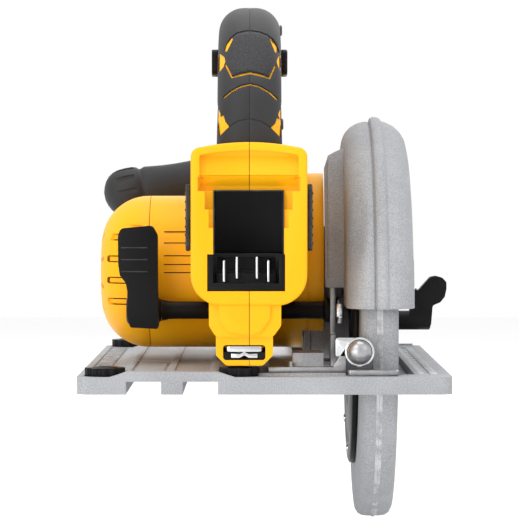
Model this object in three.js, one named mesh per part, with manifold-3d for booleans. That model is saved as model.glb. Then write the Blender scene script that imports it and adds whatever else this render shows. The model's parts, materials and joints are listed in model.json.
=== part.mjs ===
// Cordless circular saw, modelled as its separate pieces.
// Millimetres. +X is the blade side, +Y the cutting direction, +Z up.
// The origin is in the middle of the sole's underside.
import * as THREE from 'three';
import { mergeVertices } from 'three/addons/utils/BufferGeometryUtils.js';
import Module from 'manifold-3d';

const wasm = await Module();
wasm.setup();

// ---- driving dimensions ----
const gap = 0.3;                    // kept between touching pieces
const runGap = 0.2;                 // radial, round a turning pin

const baseWidth = 184.4;
const baseLength = 290;
const baseThick = 8.5;
const bridge = { left: -67.5, right: -23, top: 11, slope: 8.5 };
const groove = { width: 17.2, depth: 6.3, centers: [-59.3, -31.45] };
const slot = { bottomLeft: 9.5, topLeft: 16, right: 69, margin: 6.5 };

const bladeDiameter = 184;
const bladeRise = 28;                // blade axis above the sole
const kerf = 1.8;
const bladeTeeth = 24;
const boreRadius = 8;
const bladeX = 57.5;
const lower = { left: 48, right: 67, rimGap: 9, wall: 2 };
const upper = { left: 41, right: 75, innerGap: 2.5, wall: 4, seam: 3.5, sill: 41 };
const guardDisc = { left: 44.5, right: 47.7, radius: 73 };
const lockX = 31;
const guardBehind = 24;             // sole left behind the lower guard

const tilt = { x: 47, z: 20 };      // bevel axis, along Y
const earThick = 3;
const pivot = { ahead: 120, z: 38 };// depth axis, along X
const clampBehind = 45;
const depthSwing = 26;              // degrees
const arc = { left: 34, right: 36.6, slotHalf: 3.4, wall: 3 };

const gear = { module: 1.2, teeth: 36, pinionTeeth: 12, left: 27, right: 35 };
const motorRadius = 40.2;
const motorInside = { stator: 7.2, bore: 18.7, core: 19.7, fan: 9.2 }; // taken off the radius
const motorLeft = -86;
const capRight = -60;
const housingRight = 31;

const dock = { left: -36.2, right: 20.9, low: 43.4, top: 123.4 };
const gripWidth = 32;
const gripDepth = 34;
const gripWall = 2.8;
const seamX = -7.5;                 // parting plane of the housing and handle halves

// ---- worked out from them ----
const bladeRadius = bladeDiameter / 2;
const lowerRadius = bladeRadius + lower.rimGap;
const upperInner = lowerRadius + upper.innerGap;
const upperRadius = upperInner + upper.wall;
const rearEdge = -baseLength / 2;
const bladeY = rearEdge + guardBehind + lowerRadius;
const bladeZ = bladeRise;
const pivotY = bladeY + pivot.ahead;
const clampY = bladeY - clampBehind;
const arcRadius = pivotY - clampY;
const gearPitch = gear.module * gear.teeth / 2;
const gearTip = gearPitch + gear.module;
const pinionPitch = gear.module * gear.pinionTeeth / 2;
const motorZ = bladeZ + gearPitch + pinionPitch;
const caseInner = gearTip + 1.2;
const caseOuter = caseInner + 2.5;
const frameLow = baseThick + 0.8;
const frameTop = frameLow + 3;
const frameEar = bladeY - lowerRadius - 2.6;          // front face of the frame's rear ear
const baseEar = frameEar - earThick - gap;            // front face of the base's rear ear
const quadrantY = pivotY + 9;                         // rear face of the front quadrant
const towerY = quadrantY + earThick + gap;            // rear face of the front bracket's plate
const fromRear = (distance) => rearEdge + distance;

// ---- shapes and solids ----
const toX = new THREE.Matrix4().set(0, 0, 1, 0, 1, 0, 0, 0, 0, 1, 0, 0, 0, 0, 0, 1);
const toY = new THREE.Matrix4().set(1, 0, 0, 0, 0, 0, -1, 0, 0, 1, 0, 0, 0, 0, 0, 1);
const turnX = new THREE.Matrix4().set(0, 1, 0, 0, 1, 0, 0, 0, 0, 0, -1, 0, 0, 0, 0, 1);
const turnZ = new THREE.Matrix4().set(1, 0, 0, 0, 0, 0, -1, 0, 0, 1, 0, 0, 0, 0, 0, 1);

// A closed three.js geometry as a solid that can be cut and joined.
function solid(geometry) {
  geometry.deleteAttribute('normal');
  geometry.deleteAttribute('uv');
  const merged = mergeVertices(geometry, 1e-4);
  const points = merged.attributes.position.array;
  const corners = [];
  let volume = 0;
  const a = new THREE.Vector3();
  const b = new THREE.Vector3();
  const c = new THREE.Vector3();
  for (let i = 0; i < merged.index.count; i += 3) {
    const [p, q, r] = [0, 1, 2].map((k) => merged.index.getX(i + k));
    if (p === q || q === r || r === p) continue;
    corners.push([p, q, r]);
    a.fromArray(points, 3 * p);
    b.fromArray(points, 3 * q);
    c.fromArray(points, 3 * r);
    volume += a.dot(b.cross(c));
  }
  const triVerts = new Uint32Array(corners.flatMap((t) => (volume < 0 ? [t[0], t[2], t[1]] : t)));
  const vertProperties = new Float32Array(points);
  return new wasm.Manifold(new wasm.Mesh({ numProp: 3, vertProperties, triVerts }));
}

function outline(points) {
  return new THREE.Shape(points.map(([u, v]) => new THREE.Vector2(u, v)));
}

function roundedBox(u0, u1, v0, v1, radius) {
  const r = Math.min(radius, (u1 - u0) / 2 - 0.01, (v1 - v0) / 2 - 0.01);
  const shape = new THREE.Shape();
  shape.moveTo(u0 + r, v0);
  shape.lineTo(u1 - r, v0);
  shape.absarc(u1 - r, v0 + r, r, -Math.PI / 2, 0);
  shape.absarc(u1 - r, v1 - r, r, 0, Math.PI / 2);
  shape.absarc(u0 + r, v1 - r, r, Math.PI / 2, Math.PI);
  shape.absarc(u0 + r, v0 + r, r, Math.PI, 1.5 * Math.PI);
  return shape;
}

// A slab of the outline. Along x the outline is (Y, Z), along y it is (X, Z), along z it is (X, Y).
function slab(along, shape, low, high, bevel = 0, segments = 3) {
  const depth = high - low - 2 * bevel;
  const geometry = new THREE.ExtrudeGeometry(shape, {
    depth, curveSegments: segments, bevelEnabled: bevel > 0,
    bevelThickness: bevel, bevelSize: bevel, bevelOffset: -bevel, bevelSegments: 1,
  });
  geometry.translate(0, 0, bevel + (along === 'y' ? -high : low));
  if (along === 'x') geometry.applyMatrix4(toX);
  if (along === 'y') geometry.applyMatrix4(toY);
  return solid(geometry);
}

function box(x0, x1, y0, y1, z0, z1) {
  const geometry = new THREE.BoxGeometry(x1 - x0, y1 - y0, z1 - z0);
  geometry.translate((x0 + x1) / 2, (y0 + y1) / 2, (z0 + z1) / 2);
  return solid(geometry);
}

// A profile of [along, radius] points turned about an axis through the centre.
function turned(along, profile, center, segments = 20) {
  const points = profile.map(([u, r]) => new THREE.Vector2(r, u));
  const geometry = new THREE.LatheGeometry(points, segments);
  if (along === 'x') geometry.applyMatrix4(turnX);
  if (along === 'z') geometry.applyMatrix4(turnZ);
  geometry.translate(...center);
  return solid(geometry);
}

function rod(along, low, high, radius, center, segments = 16) {
  return turned(along, [[low, 0], [low, radius], [high, radius], [high, 0]], center, segments);
}

// The loop round two circles, as an outline: the straight sides touch both of them.
function band(u0, v0, r0, u1, v1, r1) {
  const heading = Math.atan2(v1 - v0, u1 - u0);
  const lean = Math.acos((r0 - r1) / Math.hypot(u1 - u0, v1 - v0));
  const shape = new THREE.Shape();
  shape.absarc(u0, v0, r0, heading + lean, heading - lean + 2 * Math.PI);
  shape.absarc(u1, v1, r1, heading - lean, heading + lean);
  return shape;
}

function unite(...solids) {
  return solids.reduce((whole, next) => whole.add(next));
}

function cut(whole, ...tools) {
  return tools.reduce((rest, tool) => rest.subtract(tool), whole);
}

const saw = new THREE.Group();
const finishes = {
  castGrey: [0xb4b4b4, 0.5, 0.7],
  steel: [0xc8c8ca, 0.25, 1],
  darkSteel: [0x6a6a6e, 0.4, 1],
  yellow: [0xfdba12, 0.4, 0],
  grip: [0x3a3a3c, 0.7, 0],
  black: [0x141416, 0.5, 0],
  copper: [0xb06a3a, 0.4, 0.8],
  board: [0x2c5a3a, 0.6, 0],
};

function place(name, body, finish) {
  const mesh = body.getMesh();
  const geometry = new THREE.BufferGeometry();
  geometry.setAttribute('position', new THREE.BufferAttribute(new Float32Array(mesh.vertProperties), 3));
  geometry.setIndex(new THREE.BufferAttribute(new Uint32Array(mesh.triVerts), 1));
  geometry.computeVertexNormals();
  const [color, roughness, metalness] = finishes[finish];
  const part = new THREE.Mesh(geometry, new THREE.MeshStandardMaterial({ color, roughness, metalness }));
  part.name = name;
  saw.add(part);
}

// ---- base, its brackets and knobs ----
const knobRadius = 10;
const knobInset = 13;
const knobSpots = {
  knob_rear_left: [groove.centers[0] - groove.width / 2 - knobRadius - 0.8, fromRear(knobInset)],
  knob_rear_middle: [groove.centers[1] + groove.width / 2 + knobRadius + 0.4, fromRear(knobInset)],
  knob_front_left: [groove.centers[0] - groove.width / 2 - knobRadius - 0.8, -fromRear(knobInset)],
  knob_front_middle: [groove.centers[1] + groove.width / 2 + knobRadius + 0.4, -fromRear(knobInset)],
};

function basePlate() {
  const half = baseWidth / 2;
  let plate = slab('z', roundedBox(-half, half, rearEdge, -rearEdge, 7), 0, baseThick, 0.8);
  const rise = outline([
    [bridge.left - bridge.slope, baseThick - 1], [bridge.right + bridge.slope, baseThick - 1],
    [bridge.right + bridge.slope, baseThick], [bridge.right, bridge.top],
    [bridge.left, bridge.top], [bridge.left - bridge.slope, baseThick],
  ]);
  plate = plate.add(slab('y', rise, rearEdge + 0.9, -rearEdge - 0.9));
  for (const x of groove.centers) {
    const reach = groove.width / 2;
    plate = plate.subtract(box(x - reach, x + reach, rearEdge - 1, -rearEdge + 1, -1, groove.depth));
  }
  const slotCut = outline([
    [slot.bottomLeft - 0.7, -1], [slot.right, -1], [slot.right, baseThick + 1],
    [slot.topLeft + 0.7, baseThick + 1],
  ]);
  plate = plate.subtract(slab('y', slotCut, bladeY - lowerRadius - slot.margin, bladeY + upperRadius + 3));
  for (const [x, y] of Object.values(knobSpots)) {
    plate = plate.subtract(rod('z', baseThick - 1, 20, knobRadius + 0.6, [x, y, 0], 24));
    plate = plate.subtract(rod('z', -1, baseThick, 3 + runGap, [x, y, 0], 12));
  }
  const notch = outline([[bladeX - 1.5, -rearEdge - 7], [bladeX + 1.5, -rearEdge - 7],
    [bladeX + 4, -rearEdge + 1], [bladeX - 4, -rearEdge + 1]]);
  return plate.subtract(slab('z', notch, -1, baseThick + 1));
}

function knob([x, y]) {
  const lobes = new THREE.Shape();
  const points = 24;
  for (let i = 0; i < points; i += 1) {
    const turn = (i / points) * 2 * Math.PI;
    const r = knobRadius - 0.9 + 0.9 * Math.cos(6 * turn);
    const move = i ? 'lineTo' : 'moveTo';
    lobes[move](x + r * Math.cos(turn), y + r * Math.sin(turn));
  }
  const head = slab('z', lobes, baseThick - 0.7, baseThick + 4.6);
  return head.add(rod('z', 1.5, baseThick, 3, [x, y, 0], 12));
}

function rearBracket() {
  const foot = box(tilt.x - 6, slot.right + 8, baseEar - 11, baseEar, baseThick + gap, baseThick + gap + 2.6);
  const ear = slab('y', band(tilt.x, tilt.z, 7, tilt.x, baseThick + 6, 6), baseEar - earThick, baseEar, 0, 8);
  const hole = rod('y', baseEar - 5, baseEar + 1, 3 + gap, [tilt.x, 0, tilt.z]);
  const low = box(0, 100, baseEar - 20, baseEar + 1, -9, baseThick + gap);
  return cut(foot.add(ear), hole, low);
}

function rearRivet() {
  const back = baseEar - earThick - gap;
  const profile = [[back - 4.6, 0], [back - 4.3, 2.2], [back - 3, 4.4], [back - 1.2, 5.6], [back, 5.9],
    [back, 3], [frameEar + gap, 3], [frameEar + gap, 4.3], [frameEar + 1.6, 4.3], [frameEar + 1.6, 0]];
  return turned('y', profile, [tilt.x, 0, tilt.z], 24);
}

const rodZ = 24.3;
const rodY = towerY + earThick + 7;
const rodEars = [[28, 31.5], [72, 75.5]];

function frontBracket() {
  const floor = baseThick + gap;
  const foot = box(26, 78, towerY, rodY + 10, floor, floor + 3);
  const towerShape = band(tilt.x, tilt.z + 18, 15, tilt.x, floor + 6, 18);
  const tower = slab('y', towerShape, towerY, towerY + earThick, 0, 8);
  const ears = rodEars.map(([x0, x1]) => slab('x', band(rodY, rodZ, 6.5, rodY, floor + 4, 8), x0, x1, 0, 6));
  const stud = rod('y', quadrantY + gap, towerY + 1, 2.2, guidePoint(0), 12);
  const body = unite(foot, tower, ...ears, stud);
  return cut(body,
    rod('x', 20, 90, 3.15 + runGap, [0, rodY, rodZ]),
    rod('y', quadrantY, towerY + 4, 3 + gap, [tilt.x, 0, tilt.z]),
    box(0, 120, towerY - 12, rodY + 20, -20, floor));
}

// A point of the quadrant's slot, at an angle turned back from the stud.
const guideRadius = 27;
const guideLean = 22;
const bevelSwing = 56;
function guidePoint(back) {
  const turn = THREE.MathUtils.degToRad(guideLean - back);
  return [tilt.x + guideRadius * Math.sin(turn), 0, tilt.z + guideRadius * Math.cos(turn)];
}

function frontPin() {
  const front = towerY + earThick + gap;
  const profile = [[quadrantY + gap, 0], [quadrantY + gap, 3], [front, 3], [front, 5], [front + 1.6, 5],
    [front + 1.6, 0]];
  return turned('y', profile, [tilt.x, 0, tilt.z], 20);
}

function clampRod() {
  const bar = rod('x', 24, 96, 3.15, [0, rodY, rodZ]);
  const cam = rod('x', tilt.x - 4, tilt.x + 4, 4.2, [0, rodY - 0.6, rodZ + 4.5], 20);
  return unite(bar, cam);
}

function bevelLever() {
  const hub = rod('x', 76.5, 96.5, 5.6, [0, rodY, rodZ], 20);
  const wing = slab('y', outline([
    [86, rodZ - 4], [97, rodZ - 4.5], [102, rodZ + 6], [106.7, rodZ + 17], [106.4, rodZ + 23],
    [102, rodZ + 25.6], [98, rodZ + 23], [95, rodZ + 14], [90, rodZ + 5],
  ]), rodY - 5, rodY + 4, 1.5);
  return cut(hub.add(wing), rod('x', 70, 96.2, 3.15 + gap, [0, rodY, rodZ]));
}

place('base_plate', basePlate(), 'castGrey');
for (const [name, spot] of Object.entries(knobSpots)) place(name, knob(spot), 'black');
place('rear_pivot_bracket', rearBracket(), 'steel');
place('rear_pivot_rivet', rearRivet(), 'steel');
place('front_bevel_bracket', frontBracket(), 'castGrey');
place('front_bevel_pin', frontPin(), 'steel');
place('bevel_clamp_rod', clampRod(), 'steel');
place('bevel_lever', bevelLever(), 'black');

// ---- tilting frame ----
const frameLeft = 2;
const frameRight = slot.topLeft - 0.5;
const pinRadius = 4;

function bevelFrame() {
  const rail = box(frameLeft, frameRight, frameEar - earThick, quadrantY + earThick, frameLow, frameTop);
  const rearStrip = box(frameLeft, 40.5, frameEar - earThick, frameEar + 6, frameLow, frameTop);
  const earBand = band(tilt.x, tilt.z, 6.8, 39, frameLow + 2, 5);
  const rearEar = slab('y', earBand, frameEar - earThick, frameEar, 0, 8);
  const arcStrip = box(frameLeft, arc.left - gap, clampY - 14, clampY + 16, frameLow, frameTop);
  const frontPlate = box(frameLeft, 50, pivotY - 6, quadrantY + earThick, frameLow, frameTop);
  const earShape = band(pivotY, pivot.z, 8, pivotY + 1, frameLow + 6, 8);
  const ears = [[18, 23.3], [43.9, 47]].map(([x0, x1]) => slab('x', earShape, x0, x1, 0, 8));
  const sweep = new THREE.Shape();
  const from = THREE.MathUtils.degToRad(90 - guideLean - 14);
  const to = THREE.MathUtils.degToRad(90 - guideLean + bevelSwing + 14);
  sweep.moveTo(tilt.x, tilt.z - 4);
  sweep.lineTo(tilt.x + (guideRadius + 7) * Math.cos(from), tilt.z + (guideRadius + 7) * Math.sin(from));
  sweep.absarc(tilt.x, tilt.z, guideRadius + 7, from, to);
  const fan = slab('y', sweep, quadrantY, quadrantY + earThick, 0, 16);
  const hub = rod('y', quadrantY, quadrantY + earThick, 9.6, [tilt.x, 0, tilt.z], 24);
  const web = slab('y', outline([[6, frameLow], [40, frameLow], [44, 20], [30, 44], [24, 40]]),
    quadrantY, quadrantY + earThick);
  let body = unite(rail, rearStrip, rearEar, arcStrip, frontPlate, ...ears, fan, hub, web);
  const steps = 8;
  for (let i = 0; i < steps; i += 1) {
    const swing = bevelSwing + 4;
    const [x0, , z0] = guidePoint(-2 + (i * swing) / steps);
    const [x1, , z1] = guidePoint(-2 + ((i + 1) * swing) / steps);
    body = body.subtract(slab('y', band(x0, z0, 2.6, x1, z1, 2.59), quadrantY - 1, quadrantY + 5, 0, 4));
  }
  return cut(body,
    rod('y', frameEar - 5, frameEar + 1, 3 + gap, [tilt.x, 0, tilt.z]),
    rod('y', quadrantY - 1, quadrantY + 5, 3 + gap, [tilt.x, 0, tilt.z]),
    rod('x', 10, 60, pinRadius + gap, [0, pivotY, pivot.z]),
    box(0, 60, frameEar - 10, quadrantY + 10, 0, frameLow));
}

// The upright slotted plate that the saw is clamped to at the depth wanted.
function arcShape(inner, outer, lowAngle, highAngle) {
  const shape = new THREE.Shape();
  const low = Math.PI - THREE.MathUtils.degToRad(lowAngle);
  const high = Math.PI - THREE.MathUtils.degToRad(highAngle);
  shape.absarc(pivotY, pivot.z, outer, low, high, true);
  shape.absarc(pivotY, pivot.z, inner, high, low, false);
  return shape;
}

function depthArc() {
  const half = arc.slotHalf + arc.wall;
  const plate = slab('x', arcShape(arcRadius - half, arcRadius + half, -6, depthSwing + 2.6), arc.left,
    arc.right, 0, 14);
  const stem = box(arc.left, arc.right, clampY - 14, clampY + 16, frameLow, pivot.z - 12);
  const top = depthSwing + 1.4;
  const way = slab('x', arcShape(arcRadius - arc.slotHalf, arcRadius + arc.slotHalf, -1.4, top), arc.left - 1,
    arc.right + 1, 0, 14);
  return cut(plate.add(stem), way);
}

function depthPin() {
  const ends = [17.7, 47.3];
  const profile = [[ends[0] - 2.2, 0], [ends[0] - 2.2, 6.5], [ends[0], 6.5], [ends[0], pinRadius],
    [ends[1], pinRadius], [ends[1], 3], [ends[1] + 1.6, 3], [ends[1] + 1.6, 0]];
  return turned('x', profile, [0, pivotY, pivot.z], 20);
}

place('bevel_frame', bevelFrame(), 'steel');
place('depth_arc', depthArc(), 'castGrey');
place('depth_pivot_pin', depthPin(), 'steel');

// ---- guards and gear case ----
const noseRadius = 20;

function lobe(bladeReach, motorReach) {
  return band(bladeY, bladeZ, bladeReach, bladeY, motorZ, motorReach);
}

function upperGuard() {
  const { left, right, wall, seam, sill } = upper;
  const middle = bladeX + 0.5;
  const outer = [[left, 0], [left, upperRadius - 7], [left + 2.5, upperRadius - 2], [left + 7, upperRadius],
    [middle - 1.6, upperRadius], [middle - 1, upperRadius + seam], [middle + 1, upperRadius + seam],
    [middle + 1.6, upperRadius], [right - 8, upperRadius - 1], [right - 2.5, upperRadius - 5],
    [right, upperRadius - 13], [right, 0]];
  const inner = [[left + 2.2, 0], [left + 2.2, upperInner - 2], [left + 4, upperInner],
    [right - 6, upperInner], [right - 2.2, upperInner - 2], [right - 2.2, 0]];
  const center = [0, bladeY, bladeZ];
  const shell = turned('x', outer, center, 46).subtract(turned('x', inner, center, 38));
  const arm = slab('x', guardArm(), 36, left + 2.2);
  const boss = rod('x', 23.6 + gap, left + 2.2, 7.5, [0, pivotY, pivot.z], 20);
  const cover = arcCover();
  const below = box(0, 100, bladeY - 130, pivotY - 9, -100, sill);
  const inside = turned('x', inner, center, 38);
  let body = cut(shell, below);
  body = unite(body, cut(arm, inside), boss, cover);
  return cut(body,
    rod('x', 20, 50, pinRadius + gap, [0, pivotY, pivot.z]),
    rod('x', left - 1, left + 3, noseRadius + gap, center, 32),
    slab('x', lobe(caseOuter + gap, caseOuter + gap - 2.5), 20, left - 0.01, 0, 9));
}

// The side of the arm that carries the guard on the depth pivot.
function guardArm() {
  return outline([[pivotY - 3, pivot.z - 7], [pivotY + 5.5, pivot.z - 5], [pivotY + 6, pivot.z + 4.5],
    [pivotY - 14, pivot.z + 26], [pivotY - 46, pivot.z + 40], [pivotY - 46, upper.sill],
    [pivotY - 14, upper.sill]]);
}

// The hollow shoulder on the guard's left side that hides the upper end of the depth arc.
function arcCover() {
  const half = arc.slotHalf + arc.wall + 1.2;
  const coverLeft = arc.left - 2.6;
  const bottom = upper.sill + 9;
  const coverShape = arcShape(arcRadius - half - 2, arcRadius + half + 2.6, 2, depthSwing + 4.4);
  const outer = slab('x', coverShape, coverLeft, upper.left + 0.6, 0, 14);
  const pocket = slab('x', arcShape(arcRadius - half, arcRadius + half, -2, depthSwing + 3.4), arc.left - 0.7,
    upper.left - 0.6, 0, 14);
  const low = box(20, 60, clampY - 40, clampY + 120, -20, bottom);
  const ledge = slab('y', roundedBox(coverLeft + 0.4, upper.left + 0.5, bottom, bottom + 5, 1),
    pivotY - arcRadius - half - 2.8, clampY - 6);
  return cut(outer.add(ledge), pocket, low);
}

function lowerGuard() {
  const { left, right, wall } = lower;
  const rim = lowerRadius;
  const profile = [[left, 70], [left, rim - 5], [left + 1.5, rim - 1.6], [left + 4.5, rim],
    [right - 4.5, rim], [right - 1.5, rim - 1.6], [right, rim - 5], [right, 60], [right - wall, 60],
    [right - wall, rim - 5], [right - 4.5, rim - wall], [left + 4.5, rim - wall], [left + wall, rim - 5],
    [left + wall, 70], [left, 70]];
  const ring = turned('x', profile, [0, bladeY, bladeZ], 46);
  return ring.subtract(box(0, 100, bladeY - 130, bladeY + 130, bladeZ + 16, 200));
}

function discPlate() {
  const { left, right, radius } = guardDisc;
  const bore = noseRadius + gap;
  const profile = [[left, bore], [left, radius - 1.5], [left + 1.5, radius], [right, radius], [right, bore],
    [left, bore]];
  return turned('x', profile, [0, bladeY, bladeZ], 36);
}

function guardSpring() {
  const turns = 2.5;
  const steps = 20;
  const points = [];
  for (let i = 0; i <= steps; i += 1) {
    const turn = (i / steps) * turns * 2 * Math.PI;
    const [y, z] = [bladeY + 22 * Math.cos(turn), bladeZ + 22 * Math.sin(turn)];
    points.push(new THREE.Vector3(48.9 + (2.8 * i) / steps, y, z));
  }
  const wire = new THREE.Shape();
  wire.absarc(0, 0, 0.5, 0, 2 * Math.PI);
  const path = new THREE.CatmullRomCurve3(points);
  return solid(new THREE.ExtrudeGeometry(wire, { steps: steps * 2, extrudePath: path, curveSegments: 2 }));
}

function gearCase() {
  const shell = slab('x', lobe(caseOuter, caseOuter - 2.5), 24.5, upper.left - gap, 0, 9);
  const pocket = slab('x', lobe(caseInner, caseInner - 2.5), 20, 37.6, 0, 9);
  const nose = rod('x', upper.left - 1, 52.5, noseRadius, [0, bladeY, bladeZ], 32);
  return cut(shell.subtract(pocket).add(nose),
    rod('x', 41, 60, 15 + gap, [0, bladeY, bladeZ], 24),
    rod('x', 30, 60, boreRadius + 1.5, [0, bladeY, bladeZ], 24),
    rod('y', bladeY, bladeY + 60, 2.3 + gap, [lockX, 0, bladeZ], 12));
}

function gearCover() {
  const plate = slab('x', lobe(caseOuter, caseOuter - 2.5), 21, 24.2, 0, 9);
  return cut(plate,
    rod('x', 20, 30, 11 + gap, [0, bladeY, motorZ], 24),
    rod('x', 20, 30, 10 + gap, [0, bladeY, bladeZ], 24));
}

function bearing(x0, x1, inner, outer, y, z) {
  const profile = [[x0, inner], [x0, outer - 0.6], [x0 + 0.6, outer], [x1 - 0.6, outer], [x1, outer - 0.6],
    [x1, inner], [x0, inner]];
  return turned('x', profile, [0, y, z], 18);
}

place('upper_guard', upperGuard(), 'castGrey');
place('lower_guard', lowerGuard(), 'castGrey');
place('lower_guard_disc', discPlate(), 'black');
place('lower_guard_spring', guardSpring(), 'steel');
place('gear_case', gearCase(), 'castGrey');
place('gear_cover', gearCover(), 'castGrey');
place('spindle_bearing_inner', bearing(21, 24.2, 6 + runGap, 10, bladeY, bladeZ), 'steel');
place('spindle_bearing_outer', bearing(41.3, 49, boreRadius + runGap, 15, bladeY, bladeZ), 'steel');
place('rotor_bearing_front', bearing(18.5, 24.2, 4 + runGap, 11, bladeY, motorZ), 'steel');
place('rotor_bearing_rear', bearing(-72, -66.5, 4 + runGap, 9, bladeY, motorZ), 'steel');

// ---- blade and drive train ----
// Teeth with straight flanks; the first one is centred on the given angle in degrees.
function toothedOutline(y, z, rootRadius, tipRadius, teeth, start, rootHalf, tipHalf) {
  const points = [];
  for (let i = 0; i < teeth; i += 1) {
    const middle = start + (360 * i) / teeth;
    for (const [radius, offset] of [[rootRadius, -rootHalf], [tipRadius, -tipHalf], [tipRadius, tipHalf],
      [rootRadius, rootHalf]]) {
      const turn = THREE.MathUtils.degToRad(middle + offset);
      points.push([y + radius * Math.cos(turn), z + radius * Math.sin(turn)]);
    }
  }
  return outline(points);
}

function sawBlade() {
  const pitch = 360 / bladeTeeth;
  const points = [];
  for (let i = 0; i < bladeTeeth; i += 1) {
    for (const [share, radius] of [[0, bladeRadius], [0.32, bladeRadius - 1.6], [0.7, bladeRadius - 3.4],
      [0.8, bladeRadius - 9], [0.98, bladeRadius - 8]]) {
      const turn = THREE.MathUtils.degToRad(-(i + share) * pitch);
      points.push([bladeY + radius * Math.cos(turn), bladeZ + radius * Math.sin(turn)]);
    }
  }
  const plate = slab('x', outline(points.reverse()), bladeX - kerf / 2, bladeX + kerf / 2);
  return plate.subtract(rod('x', 50, 65, boreRadius + gap, [0, bladeY, bladeZ]));
}

function spindle() {
  const profile = [[20.6, 0], [20.6, 6], [25, 6], [25, 8], [26.4, 8], [26.4, 7.2], [40, 7.2],
    [40, boreRadius], [60.4, boreRadius], [60.4, 0]];
  const shaft = turned('x', profile, [0, bladeY, bladeZ], 24);
  return shaft.subtract(rod('x', 50, 70, 3, [0, bladeY, bladeZ], 12));
}

function drivenGear() {
  const half = 360 / gear.teeth / 2;
  const teeth = toothedOutline(bladeY, bladeZ, gearPitch - 1.25 * gear.module, gearTip, gear.teeth, half,
    3.1, 1.2);
  return slab('x', teeth, gear.left, gear.right).subtract(rod('x', 20, 40, 7.2 + gap, [0, bladeY, bladeZ]));
}

function rotorShaft() {
  const shaft = rod('x', -74, 38 - 1, 4, [0, bladeY, motorZ], 20);
  const teeth = toothedOutline(bladeY, motorZ, pinionPitch - 1.25 * gear.module, pinionPitch + gear.module,
    gear.pinionTeeth, 0, 9.5, 3);
  return shaft.add(slab('x', teeth, gear.left - 1, gear.right + 1));
}

function fan() {
  const reach = motorRadius - motorInside.fan;
  const hub = turned('x', [[4, 4 + gap], [4, reach], [5.6, reach], [7, 12], [13, 9], [13, 4 + gap],
    [4, 4 + gap]], [0, bladeY, motorZ], 30);
  const blades = [];
  const count = 9;
  for (let i = 0; i < count; i += 1) {
    const turn = (i / count) * 2 * Math.PI;
    const [c, s] = [Math.cos(turn), Math.sin(turn)];
    const ends = [[8, -0.8], [reach - 0.5, -0.8], [reach - 0.5, 0.8], [8, 0.8]];
    const shape = outline(ends.map(([u, v]) => [bladeY + u * c - v * s, motorZ + u * s + v * c]));
    blades.push(slab('x', shape, 5, 13));
  }
  return unite(hub, ...blades);
}

function flange(x0, x1) {
  const profile = [[x0, boreRadius + gap], [x0, 15], [x0 + 1, 20], [x1, 20], [x1, boreRadius + gap],
    [x0, boreRadius + gap]];
  return turned('x', profile, [0, bladeY, bladeZ], 28);
}

function bladeBolt() {
  const washer = rod('x', 62, 64, 9.5, [0, bladeY, bladeZ], 24);
  const hex = rod('x', 63.5, 68, 7.2, [0, bladeY, bladeZ], 6);
  const shank = rod('x', 52, 63, 2.7, [0, bladeY, bladeZ], 12);
  return unite(washer, hex, shank);
}

const motorCenter = [0, bladeY, motorZ];
place('saw_blade', sawBlade(), 'steel');
place('spindle', spindle(), 'darkSteel');
place('driven_gear', drivenGear(), 'darkSteel');
place('inner_flange', flange(53, bladeX - kerf / 2 - gap), 'darkSteel');
place('outer_flange', flange(bladeX + kerf / 2 + gap, 61.7), 'darkSteel');
place('blade_bolt', bladeBolt(), 'darkSteel');
place('rotor_shaft', rotorShaft(), 'darkSteel');
const coreRadius = motorRadius - motorInside.core;
place('rotor_core', turned('x', [[-44, 4 + gap], [-44, coreRadius], [-1, coreRadius], [-1, 4 + gap],
  [-44, 4 + gap]], motorCenter, 24), 'darkSteel');
place('cooling_fan', fan(), 'black');
const [statorBore, statorRadius] = [motorRadius - motorInside.bore, motorRadius - motorInside.stator];
place('stator', turned('x', [[-46, statorBore], [-46, statorRadius], [1, statorRadius], [1, statorBore],
  [-46, statorBore]], motorCenter, 28), 'copper');

// ---- motor housing ----
const flare = { reach: 40, low: 19.5, top: 109, left: 12, radius: 34, wall: 2.5 };

function motorShape(grow) {
  const low = capRight + gap;
  const tube = rod('x', low, housingRight, motorRadius + grow, motorCenter, 44);
  const ends = roundedBox(bladeY - flare.reach - grow, bladeY + flare.reach + grow, flare.low - grow,
    flare.top + grow, flare.radius + grow);
  return tube.add(slab('x', ends, flare.left - grow, housingRight + Math.max(grow, 0), 0, 7));
}

function motorHousing() {
  const bore = rod('x', capRight - 5, housingRight + 5, motorRadius - 2.5, motorCenter, 36);
  const ends = roundedBox(bladeY - flare.reach + flare.wall, bladeY + flare.reach - flare.wall,
    flare.low + flare.wall, flare.top - flare.wall, flare.radius - flare.wall);
  const flareBore = slab('x', ends, flare.left + flare.wall, housingRight + 5, 0, 7);
  const room = slab('x', lobe(caseOuter + gap, caseOuter + gap - 2.5), 20, housingRight + 5, 0, 9);
  const lockWay = rod('y', bladeY, bladeY + 60, 2.3 + gap, [lockX, 0, bladeZ], 12);
  return cut(motorShape(0), bore, flareBore, room, lockWay);
}

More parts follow.
